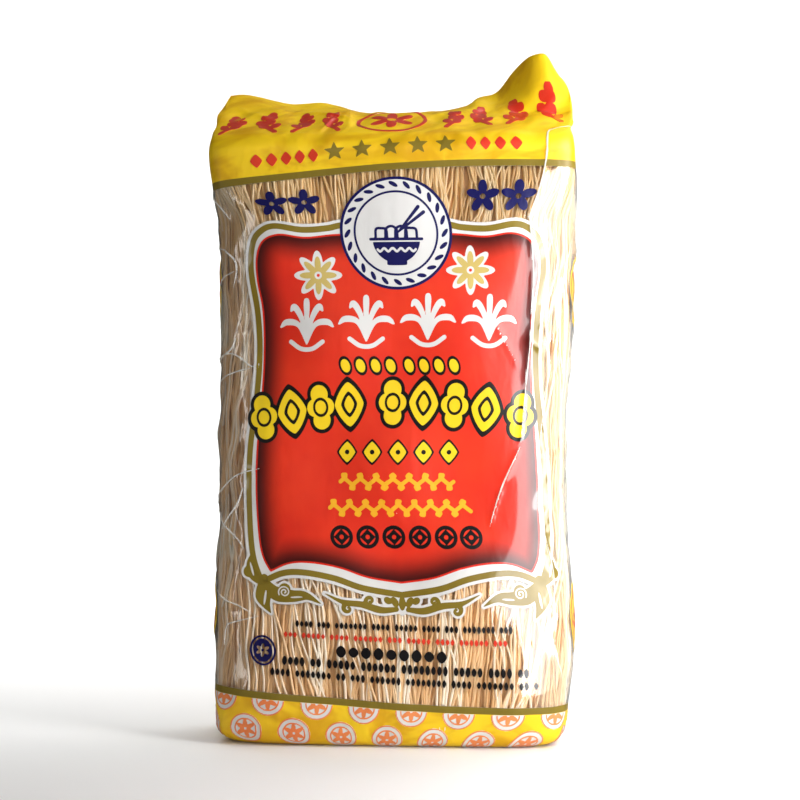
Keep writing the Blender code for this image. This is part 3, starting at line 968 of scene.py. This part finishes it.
emblem = dict(p=0.6, q=217.1, radius=23.7, ring=0.6, innerRadius=17.4)
emblemP, emblemQ, outer, inner = emblem["p"], emblem["q"], emblem["radius"], emblem["innerRadius"]
middle = (outer + inner) / 2
wreath = [oval(emblemP + middle * math.sin(a), emblemQ + middle * math.cos(a),
               0.85, 2.1, 55 - math.degrees(a))
          for a in np.linspace(0, wholeTurn, 24, endpoint=False)]
emblemBox = (emblemP - outer - 0.5, emblemP + outer + 0.5, emblemQ - outer - 0.5, emblemQ + outer + 0.5)
layInk("print_emblem_white", "white", 0.12, [(disc(emblemP, emblemQ, outer), *emblemBox, 0.8)])
layInk("print_emblem_navy", "navy", 0.16, [
    (outlineOnly(disc(emblemP, emblemQ, outer - emblem["ring"]), emblem["ring"]), *emblemBox, 0.5),
    (outlineOnly(disc(emblemP, emblemQ, inner), 0.45), *emblemBox, 0.5),
    (union(*wreath), *emblemBox, 0.45),
    (bowlOfNoodles(emblemP, emblemQ - 2.5, 10.0),
     emblemP - 14, emblemP + 14, emblemQ - 15, emblemQ + 13, 0.3),
])


# The shapes of the smaller marks: sprigs of rice, flowers, knots and sprays

def taller(field, q0, times):
    # the field stretched up and down about q0
    return lambda p, q: field(p, q0 + (q - q0) / times)


def sprig(p0, q0, size, sway, grains=4, plump=1.0):
    # a bent stem with pairs of grains that lean out from it and one at its tip
    stem = curveThrough(placed([(-sway * 0.25, -0.5), (sway * 0.12, -0.1), (0, 0.3)], p0, q0, size))
    parts = [stroke(stem, plump * np.linspace(size * 0.035, size * 0.02, len(stem)))]
    for k in range(grains):
        share = 0.25 + 0.62 * k / max(1, grains - 1)
        x, y = stem[int(share * (len(stem) - 1))]
        tall = size * (0.20 - 0.02 * k)
        for hand in (-1, 1):
            turn = -hand * (48 - 6 * k)
            away = math.radians(turn + 90)
            parts.append(oval(x + math.cos(away) * tall * 0.95, y + math.sin(away) * tall * 0.95,
                              plump * size * 0.062, tall * 0.78, turn, 1.7))
    parts.append(oval(p0, q0 + size * 0.42, plump * size * 0.062, size * 0.15, 0, 1.7))
    return union(*parts)


def flower(p0, q0, radius, petals, heart=0.2):
    # ovals set round a middle, with a round hole
    ovals = [oval(p0 + radius * 0.56 * math.sin(a), q0 + radius * 0.56 * math.cos(a),
                  radius * 0.20 * 6 / petals + 0.12,
                  radius * 0.44, -math.degrees(a)) for a in np.arange(petals) * wholeTurn / petals]
    return without(union(*ovals, disc(p0, q0, radius * (heart + 0.16))), disc(p0, q0, radius * heart))


def knot(p0, q0, radius):
    # a ring round a lozenge with a round hole
    return union(outlineOnly(disc(p0, q0, radius * 0.84), radius * 0.16),
                 without(oval(p0, q0, radius * 0.68, radius * 0.68, power=1.0), disc(p0, q0, radius * 0.2)))


def marksAt(places, half, step, shape):
    # the same shape at each place, each in its own square box
    return [around(p, q, half, step, shape(p, q)) for p, q in places]


def around(p0, q0, half, step, field):
    # a motif in a square box about its own middle
    return (field, p0 - half, p0 + half, q0 - half, q0 + half, step)


goldFlowers = [(-33.6, 199.6), (31.6, 201.4)]
layInk("print_flower_white", "white", 0.12,
       marksAt(goldFlowers, 10, 0.5, lambda p, q: grown(flower(p, q, 8.0, 8), 0.9)))
layInk("print_flower_gold", "yellow_gold", 0.16,
       marksAt(goldFlowers, 9, 0.4, lambda p, q: flower(p, q, 8.0, 8)))


def spray(p0, q0, size):
    # five brush strokes that rise from one root, the outer ones curling over, above a short bow
    strokes = []
    for reach, rise in ((0.0, 0.52), (0.30, 0.42), (0.50, 0.10)):
        for hand in ((1,) if reach == 0 else (-1, 1)):
            side = hand * reach
            line = curveThrough(placed([(0, -0.34), (side * 0.35, rise * 0.35), (side * 0.85, rise * 0.95),
                                        (side * 1.12, rise - 0.10 * (reach > 0))], p0, q0, size))
            share = np.linspace(0, 1, len(line))
            strokes.append(stroke(line, size * (0.018 + 0.046 * np.sin(math.pi * share**1.3))))
    bow = curveThrough(placed([(-0.34, -0.30), (-0.12, -0.44), (0.12, -0.44), (0.34, -0.30)], p0, q0, size))
    return union(*strokes, stroke(bow, size * 0.045))


whiteSprays = [(-39.0, 178.0), (-13.0, 179.2), (13.5, 179.8), (40.0, 179.4)]
layInk("print_sprays_white", "white", 0.12,
       marksAt(whiteSprays, 15, 0.4, lambda p, q: spray(p, q, 21.0)))

navyMarks = [(-49.6, 231.6), (-36.6, 231.6), (37.0, 231.6), (50.4, 231.6)]
layInk("print_navy_flowers", "navy", 0.05,
       marksAt(navyMarks, 7.5, 0.35, lambda p, q: flower(p, q, 6.6, 5, 0.16)))

# The arched row of yellow tiles with black edges, and the smaller rows above and below it
title = dict(q=146.2, drop=7.2, halfSpan=62.0, places=(-58, -45.5, -33, -20.5, -1.5, 12, 25.5, 39, 54),
             halfWide=5.5, halfTall=9.4, edge=1.6)


def lobes(x, y, halfWide, halfTall, pierced):
    # four lobes round a middle, with a ring cut out between the lobes and the heart
    sides = np.hypot(np.abs(x) - 0.46 * halfWide, y * 0.9) - 0.62 * halfWide
    ends = np.hypot(x * 1.05, np.abs(y) - 0.58 * halfTall) - 0.42 * halfTall
    body = np.minimum(sides, ends)
    ring = np.abs(np.hypot(x, y * 0.82) - 0.52 * halfWide) - 0.5
    return np.maximum(body, -ring) if pierced else body


def lozenges(x, y, halfWide, halfTall, pierced, power):
    # one lozenge inside another
    def lozenge(wide, tall):
        return ((np.abs(x / wide) ** power + np.abs(y / tall) ** power) ** (1 / power) - 1) * wide
    outer, inner = lozenge(halfWide, halfTall), lozenge(0.56 * halfWide, 0.58 * halfTall)
    cut = np.maximum(inner, -lozenge(0.34 * halfWide, 0.40 * halfTall))
    return np.maximum(outer, -cut) if pierced else outer


def titleTile(p0, index, grow, pierced):
    # each tile stands on the arch: its own x and y are turned to the arch's slope
    q0 = title["q"] - title["drop"] * (p0 / title["halfSpan"]) ** 2
    turn = -math.atan(2 * title["drop"] * p0 / title["halfSpan"] ** 2)
    c, s = math.cos(turn), math.sin(turn)
    wide, tall = title["halfWide"], title["halfTall"]

    def field(p, q):
        x, y = (p - p0) * c + (q - q0) * s, (q - q0) * c - (p - p0) * s
        if index % 2 == 0:
            return lobes(x, y, wide, tall, pierced) - grow
        return lozenges(x, y, wide * 1.15, tall, pierced, 1.35) - grow
    return (field, p0 - 9, p0 + 9, q0 - 13, q0 + 13, 0.4)


places = list(enumerate(title["places"]))
layInk("print_title_black", "black", 0.13, [titleTile(p, i, title["edge"], False) for i, p in places])
layInk("print_title_yellow", "yellow", 0.17, [titleTile(p, i, 0.0, True) for i, p in places])

beads = [(p, 161.6) for p in (-22, -15.5, -9, -2.5, 5.5, 12, 18.5, 25)]
gems = [(p, 125.4) for p in (-21, -10, 1, 12, 23)]
layInk("print_small_black", "black", 0.13,
       marksAt(beads, 4.5, 0.4, lambda p, q: grown(oval(p, q, 1.9, 2.9, 20), 0.85))
       + marksAt(gems, 7, 0.4, lambda p, q: grown(oval(p, q, 3.6, 4.4, power=1.2), 0.9)))
layInk("print_small_yellow", "yellow", 0.17,
       marksAt(beads, 4, 0.35, lambda p, q: oval(p, q, 1.9, 2.9, 20))
       + marksAt(gems, 6, 0.4, lambda p, q: without(oval(p, q, 3.6, 4.4, power=1.2), disc(p, q, 1.0))))


def wavyLine(p0, p1, q0, tall, length, half):
    # a looping line like a noodle: p runs on while q swings, with a small swing of p as well
    x = np.linspace(p0, p1, int((p1 - p0) / length * 10))
    swing = (x - p0) / length * wholeTurn
    line = np.stack([x + length * 0.22 * np.sin(2 * swing), q0 + tall * np.sin(swing)], -1)
    return (stroke(line, half), p0 - 3, p1 + 3, q0 - tall - 1, q0 + tall + 1, 0.35)


layInk("print_wavy_orange", "orange", 0.13,
       [wavyLine(-24, 25, 113.0, 3.0, 7.0, 0.85), wavyLine(-29, 31, 102.0, 3.0, 7.0, 0.85)])
layInk("print_knots_black", "black", 0.13,
       [around(p, 89.8, 5.8, 0.35, knot(p, 89.8, 4.9)) for p in (-24.5, -13.2, -1.9, 9.4, 20.7, 31.5)])

# Stars and red marks on the yellow header
stars = [(-22.6 + 11.35 * k, 254.2) for k in range(5)]
layInk("print_stars", "gold", 0.10, marksAt(stars, 5, 0.4, lambda p, q: star(p, q, 4.5)))
redMarks = [(-52.5 + 5.3 * k, 253.4) for k in range(5)] + [(33.0 + 5.5 * k, 254.0) for k in range(4)]
headerMarks = ([(-62.0 + 12.6 * k, 283.0 - 0.8 * k) for k in range(4)]
               + [(26.5, 280.5), (38.5, 282.5), (51.0, 285.5), (63.5, 289.0)])
layInk("print_header_red", "scarlet", 0.16,
       marksAt(redMarks, 3.4, 0.35, lambda p, q: oval(p, q, 2.0, 3.0, power=1.25))
       + [around(p, q, 12, 0.45, taller(sprig(p, q, 14.5, (0.8, -0.8)[k % 2], 3, 1.9), q, 1.7))
          for k, (p, q) in enumerate(headerMarks)]
       + [around(0.6, 279.0, 16, 0.5, outlineOnly(disc(0.6, 279.0, 14.2), 0.8)),
          around(0.6, 279.0, 12, 0.4, flower(0.6, 279.0, 10.0, 6, 0.2))])


# Rows of small marks in the clear foot of the front, and a navy seal with a flower beside them

def markRow(p0, p1, q0, tall, pitch, groups, power=1.3):
    # lozenges at an even pitch, with a gap after each group
    fields, p, k = [], p0, 0
    while p < p1:
        for _ in range(groups[k % len(groups)]):
            if p < p1:
                halfTall = tall / 2 * (1.0, 0.84, 0.94)[len(fields) % 3]
                fields.append((p, oval(p, q0, pitch * 0.40, halfTall, power=power)))
            p += pitch
        p += pitch * 0.8
        k += 1
    return [(union(*[f for x, f in fields if a - 1 <= x < a + 29]),
             a - 2, a + 30, q0 - tall / 2, q0 + tall / 2, 0.3)
            for a in np.arange(p0, p1, 30.0)]


layInk("print_rows_black", "black", 0.05,
       markRow(-45, 47, 52.0, 3.2, 2.0, (4, 3, 7, 4, 5), 1.4)
       + markRow(-26, 20, 40.6, 5.2, 5.3, (9,), 1.7)
       + markRow(-50, 52, 34.9, 4.2, 2.5, (4, 2, 5, 6, 8, 5), 1.7)
       + markRow(-55, 57, 29.6, 3.6, 2.2, (4, 7, 2, 3, 6, 8), 1.4))
layInk("print_rows_red", "scarlet", 0.05, markRow(-50, 45, 46.8, 2.8, 2.1, (3, 5, 4, 6), 1.3))
seal = (-59.8, 38.6)
layInk("print_seal_navy", "navy", 0.05, [
    around(*seal, 8, 0.4, without(oval(*seal, 5.8, 7.0, 12), oval(*seal, 4.9, 6.1, 12))),
    around(*seal, 8, 0.4, without(oval(*seal, 4.2, 5.4, 12), flower(*seal, 3.2, 6, 0.2)))])


# Round medallions all round the yellow foot, and the yellow discs of the two sides

foot = dict(count=19, radius=6.9, rows=((17.2, 0.0), (3.4, 0.5)), cut=17.3)
pitch = girth / foot["count"]


def medallions(shape, half, step):
    # the shape at even places round the bag, one row shifted by half a pitch from the other
    places = [((k + shift) * pitch - girth / 2, q0) for q0, shift in foot["rows"]
              for k in range(foot["count"])]
    return [(p0, q0, half, step, shape(p0, q0)) for p0, q0 in places]


medallionBox = foot["radius"] + 0.6
layRound("print_medallions_white", "white", 0.12,
         medallions(lambda p, q: disc(p, q, foot["radius"]), medallionBox, 0.9), foot["cut"])
layRound("print_medallions_coral", "coral", 0.18,
         medallions(lambda p, q: union(outlineOnly(disc(p, q, foot["radius"] - 0.3), 0.3),
                                       outlineOnly(disc(p, q, foot["radius"] * 0.66), 0.32),
                                       flower(p, q, foot["radius"] * 0.62, 6, 0.14)),
                    medallionBox, 0.52), foot["cut"])
side = girth / 4
sideDiscs = [(hand * side, v0) for hand in (-1, 1) for v0 in (195.0, 54.0)]
layRound("print_side_yellow", "yellow", 0.14, [(u0, v0, 17, 0.8, disc(u0, v0, 16.0)) for u0, v0 in sideDiscs])
layRound("print_side_red", "scarlet", 0.20,
         [(u0, v0, 17, 0.5, union(outlineOnly(disc(u0, v0, 14.4), 0.4), sprig(u0, v0, 19.0, 0.7)))
          for u0, v0 in sideDiscs])

# The back: the same frame, round a pale table of plain rules
back = girth / 2
layPanel(("print_back_casing", "print_back_gold", "print_back_red"), (0.04, 0.11, 0.12),
         (1.4, 0.6, 0.8, 0.5, 1.5), back)
table = dict(halfWide=36.0, halfTall=42.0, q=142.0, rows=11)
layInk("print_back_table", "white", 0.16,
       [(oval(0, table["q"], table["halfWide"], table["halfTall"], power=14), -38, 38, 98, 186, 1.4)], back)
rules = [stroke([(-32, q), (32, q)], (0.7 if k in (0, 2, 10) else 0.25))
         for k, q in enumerate(np.linspace(table["q"] + 36, table["q"] - 36, table["rows"]))]
layInk("print_back_rules", "black", 0.20, [(union(*rules), -34, 34, 102, 182, 0.5)], back)
layInk("print_back_flowers", "yellow", 0.16,
       [around(p, 202.0, 9, 0.4, flower(p, 202.0, 8.0, 8)) for p in (-36, -12, 12, 36)], back)


# Rice noodles: strands that run up the bag just under the film, over a core of more strands

noodle = dict(
    sides=5, bottom=0.0, top=256.0,
    # name, bundles, strands in each, points, depth mm, depth spread, radius mm, gap mm, slope, tones (low on
    # the deeper layers as painted shade, high on the outer layer as painted highlight)
    layers=(
        ("noodles_deep", 260, 1, 60, 2.2, 0.35, 0.72, 0.0, 0.020, 0.15, 0.60),
        ("noodles_middle", 125, 2, 60, 1.45, 0.30, 0.62, 1.5, 0.035, 0.30, 0.75),
        ("noodles_outer", 60, 3, 84, 0.92, 0.12, 0.56, 3.2, 0.075, 0.72, 1.0),
    ),
    swings=((1.0, 2.8), (2.3, 1.8), (5.1, 1.1), (9.3, 0.7), (15.0, 0.3)),  # waves up the bag, swing mm
    lowest=-2, highest=259, slopeOver=250, partings=(5, 15), ripples=(20, 60), ripple=0.3, depthWaves=3.1,
    pull=0.30, pullTo=25.0, pullWidth=52.0, pullTop=100.0,
)


def tubes(name, centre, normal, radius, tones, material):
    # a small ring carried along each path: centre + radius * (cos * normal + sin * (along x normal))
    strands, steps = centre.shape[:2]
    along = np.gradient(centre, axis=1)
    along /= np.maximum(np.linalg.norm(along, axis=-1, keepdims=True), 1e-9)
    side = np.cross(along, normal)
    side /= np.maximum(np.linalg.norm(side, axis=-1, keepdims=True), 1e-9)
    out = np.cross(side, along)
    sides = noodle["sides"]
    turn = np.arange(sides) * wholeTurn / sides
    ring = out[:, :, None] * np.cos(turn)[:, None] + side[:, :, None] * np.sin(turn)[:, None]
    points = centre[:, :, None] + ring * radius[..., None, None]
    index = np.arange(strands * steps * sides).reshape(strands, steps, sides)
    walls = np.concatenate([bandFaces(strand) for strand in index])
    caps = np.concatenate([index[:, 0][:, ::-1], index[:, -1]])
    piece = makeMesh(name, points.reshape(-1, 3), [walls, caps], material)
    addTone(piece, np.repeat(tones, steps * sides))
    return standFor(piece)


def strandMaterial():
    # dried rice noodle in straw colours: the tone darkens the deeper strands as painted shade, and the outer
    # strands with the highest tone are painted cream as a painted highlight. Above about 0.17 m high it turns
    # more golden, and the coat makes it a little glassy.
    material, start, shader = newMaterial("rice_vermicelli")
    tone = start.node("ShaderNodeAttribute", {"attribute_name": "tone"}, output=2)
    patch = noiseAt(start, (1.0, 1.0, 0.22), 120.0, 3.0, 0.6).step(0.3, 0.75)
    # the tone is lower on the deeper layers, so their straw is darker: painted shade
    share = (tone * 0.8 + patch * 0.35).least(1.0)
    straw = share.mix((0.74, 0.40, 0.14, 1), (0.96, 0.70, 0.40, 1))
    # painted highlight: the highest tones, on the outer strands, turn cream
    bright = tone.step(0.78, 0.86) * (patch * 0.5 + 0.5)
    pale = bright.mix(straw, (1.0, 0.93, 0.80, 1))
    place = start.node("ShaderNodeTexCoord", output=3)
    height = place.node("ShaderNodeSeparateXYZ", None, {0: place}, output=2)
    golden = share.mix((0.58, 0.33, 0.09, 1), (0.90, 0.64, 0.28, 1))
    feed((height.step(0.17, 0.24) * 0.7).mix(pale, golden), shader, "Base Color")
    setInputs(shader, {"Roughness": 0.4, "Coat Weight": 0.3, "Coat Roughness": 0.2})
    return material


def makeStrands():
    # bundles at even places round the bag; each strand has its own place, waves and depth in one
    material = strandMaterial()
    for name, bundles, each, steps, depth, spread, thick, gap, slope, low, high in noodle["layers"]:
        count = bundles * each
        bundle = np.repeat(np.arange(bundles), each)
        share = np.linspace(0, 1, steps)[None, :]
        v = noodle["bottom"] + (noodle["top"] - noodle["bottom"]) * share
        v = np.clip(v + rng.normal(0, 1.5, (count, 1)), noodle["lowest"], noodle["highest"])
        # the bundle's own path, then each strand's place in it: gap * |sin| lets the strands part and join
        path = ((np.arange(bundles) + rng.random(bundles)) * girth / bundles)[:, None]
        path = path + (share - 0.5) * noodle["slopeOver"] * rng.normal(0, slope, (bundles, 1))
        for waves, swing in noodle["swings"]:
            phase = rng.random((bundles, 1)) * wholeTurn
            path = path + swing * rng.normal(0, 0.6, (bundles, 1)) * np.sin(share * waves * wholeTurn + phase)
        parting = np.abs(np.sin(share * rng.uniform(*noodle["partings"], (bundles, 1))
                                + rng.random((bundles, 1)) * wholeTurn))
        place = (np.tile(np.arange(each), bundles) - (each - 1) / 2)[:, None] + rng.normal(0, 0.2, (count, 1))
        u = path[bundle] + gap * place * (0.1 + parting[bundle])
        u = u + noodle["ripple"] * np.sin(share * rng.uniform(*noodle["ripples"], (count, 1))
                                          + rng.random((count, 1)) * wholeTurn)
        # near the foot the front strands lean in towards one line
        off = np.mod(u - noodle["pullTo"] + girth / 2, girth) - girth / 2
        nearFoot = 1 - smoothstep(0.0, noodle["pullTop"], v)
        u = u - noodle["pull"] * nearFoot * off * np.exp(-(off / noodle["pullWidth"]) ** 2)
        down = depth + spread * np.sin(share * wholeTurn * noodle["depthWaves"]
                                       + rng.random((count, 1)) * wholeTurn)
        down = down + spread * rng.normal(0, 0.4, (count, 1))
        normal = skinNormal(u, v)
        centre = bareSkin(u, v) + centring - normal * (np.maximum(down, thick + 0.3) / 1000)[..., None]
        radius = thick / 1000 * (1 + 0.12 * rng.normal(0, 1, (count, 1))) * np.ones((1, steps))
        # each strand's tone: low on the deep layer as painted shade, high on the outer layer as painted
        # highlight
        tones = low + (high - low) * rng.random(count)
        piece = tubes(name, centre, normal, radius, tones, material)
        print(name, len(piece.data.polygons), "faces")


makeStrands()

core = dict(columns=300, rows=150, depth=2.6, relief=0.35, bottom=-4.0, top=261.0)


def coreMaterial():
    # the strands further in, as fine upright streaks of brown and straw; their darker colour than the strands
    # over them is painted shade of the deeper noodles
    material, start, shader = newMaterial("vermicelli_core")
    streak = noiseAt(start, (1.0, 1.0, 0.035), 520.0, 2.0, 0.6, 0.4)
    patch = noiseAt(start, (1.0, 1.0, 0.3), 40.0, 3.0)
    share = (streak * 0.7 + patch * 0.5).step(0.35, 0.85)
    feed(share.mix((0.58, 0.29, 0.10, 1), (0.90, 0.58, 0.28, 1)), shader, "Base Color")
    setInputs(shader, {"Roughness": 0.6})
    return material


def makeCore():
    # the bag's own form drawn in, with narrow upright ridges
    u = np.arange(core["columns"]) * girth / core["columns"]
    v = np.linspace(core["bottom"], core["top"], core["rows"])
    gridU, gridV = np.meshgrid(u, v)
    ridges = core["relief"] * np.sin(gridU * 2.1 + 3 * np.sin(gridV / 17.0 + gridU / 29.0))
    points = bareSkin(gridU, gridV) + centring
    points = points - skinNormal(gridU, gridV) * ((core["depth"] + ridges) / 1000)[..., None]
    index = np.arange(gridU.size).reshape(gridU.shape)
    ends = points[[0, -1]].mean(1)
    foot = fanFaces(index.size, index[0])
    head = fanFaces(index.size + 1, index[-1])[:, [0, 2, 1]]
    flat = np.vstack([points.reshape(-1, 3), ends])
    return standFor(makeMesh("noodle_core", flat, [bandFaces(index), foot, head], coreMaterial()))


makeCore()
print("core made")


# Floor, lights and camera

studio = dict(
    distance=0.700, height=0.147, azimuth=4.0, across=0.0026, pixelsPerMillimetre=2.2875, frameWidth=800,
    lights=(  # name, place, size, power, aim, whether mirrors show it, whether only they do
        ("window_light", (0.205, -0.140, 0.20), (0.08, 0.36), 1.05, (0, 0, 0.15), True, False),
        ("top_light", (0.35, 0.10, 0.90), (0.7, 0.5), 1.0, (0, 0, 0.15), True, False),
        ("fill_light", (0.10, -0.95, 0.45), (0.9, 0.7), 2.4, (0, 0, 0.15), False, False),
        ("back_light", (0.0, 0.35, 0.9), (1.8, 0.5), 30.0, (0, 1.3, 0.2), False, False),
        ("right_card", (0.36, -0.43, 0.15), (0.34, 0.60), 4.8, (0.05, 0, 0.14), True, True),
        ("left_card", (-0.48, -0.42, 0.20), (0.05, 0.60), 0.30, (-0.07, 0, 0.14), True, True),
    ),
    worldDark=0.05, worldBright=0.85, worldStrength=0.5,
)


def makeFloor():
    # a sweep drawn along x from points of y and z: flat under the bag, then a quarter round to a wall
    material, start, shader = newMaterial("pale_floor")
    cloud = noiseAt(start, (1.0, 1.0, 1.0), 3.0, 2.0)
    feed(cloud.mix((0.87, 0.87, 0.86, 1), (0.90, 0.90, 0.89, 1)), shader, "Base Color")
    setInputs(shader, {"Roughness": 0.75})
    sweep = dict(front=-1.1, back=0.9, radius=0.8, top=1.0, reach=3.0, steps=25)
    turn = np.linspace(0.0, math.pi / 2, sweep["steps"])
    y = np.concatenate([[sweep["front"], 0.0], sweep["back"] + sweep["radius"] * np.sin(turn),
                        [sweep["back"] + sweep["radius"]]])
    z = np.concatenate([[0.0, 0.0], sweep["radius"] * (1 - np.cos(turn)), [sweep["top"]]])
    left = np.stack([0 * y - sweep["reach"], y, z], -1)
    right = left * [-1, 1, 1]
    k = np.arange(len(y) - 1)
    faces = np.stack([k, k + len(y), k + len(y) + 1, k + 1], -1)
    floor = makeMesh("floor", np.vstack([left, right]), [faces], material)
    floor.visible_glossy = False


def aimed(thing, place, target):
    # turned so that its own -z runs from its place to the target
    thing.location = place
    away = np.array(place) - np.array(target)
    flat = math.hypot(away[0], away[1])
    thing.rotation_euler = (math.atan2(flat, away[2]), 0.0, math.atan2(away[0], -away[1]))


def makeLight(name, place, size, power, target, seenInGloss, onlyGloss):
    # a rectangle of light that faces the target
    data = bpy.data.lights.new(name, "AREA")
    data.shape = "RECTANGLE"
    data.size, data.size_y = size
    data.energy = power
    light = bpy.data.objects.new(name, data)
    bpy.context.scene.collection.objects.link(light)
    light.visible_glossy = seenInGloss
    light.visible_diffuse = not onlyGloss
    aimed(light, place, target)


def makeWorld():
    # a pale room that is brighter to the right and behind the bag
    world = bpy.data.worlds.new("pale_room")
    bpy.context.scene.world = world
    world.use_nodes = True
    start = Wire(world.node_tree)
    place = start.node("ShaderNodeTexCoord", output=0)
    split = place.node("ShaderNodeSeparateXYZ", None, {0: place})
    behind = Wire(start.tree, split.socket.node.outputs[1])
    share = (split * 0.85 + behind * 0.10 + 0.25).step(0.0, 1.0)
    dark, bright = studio["worldDark"], studio["worldBright"]
    colour = share.mix((dark, dark * 0.97, dark * 0.92, 1), (bright, bright, bright, 1))
    background = world.node_tree.nodes["Background"]
    world.node_tree.links.new(colour.socket, background.inputs["Color"])
    background.inputs["Strength"].default_value = studio["worldStrength"]


def makeCamera():
    # focal length: pixels per millimetre times distance; it stands at the azimuth, level with its target
    data = bpy.data.cameras.new("camera")
    camera = bpy.data.objects.new("camera", data)
    bpy.context.scene.collection.objects.link(camera)
    focal = studio["pixelsPerMillimetre"] * 1000 * studio["distance"]
    data.lens = data.sensor_width * focal / studio["frameWidth"]
    turn = math.radians(studio["azimuth"])
    target = np.array([studio["across"] * math.cos(turn), studio["across"] * math.sin(turn),
                       studio["height"]])
    place = target + studio["distance"] * np.array([math.sin(turn), -math.cos(turn), 0.0])
    aimed(camera, place, target)
    bpy.context.scene.camera = camera


makeFloor()
makeWorld()
for light in studio["lights"]:
    makeLight(*light)
makeCamera()
bpy.context.scene.view_settings.view_transform = "Standard"

print("scene ready")
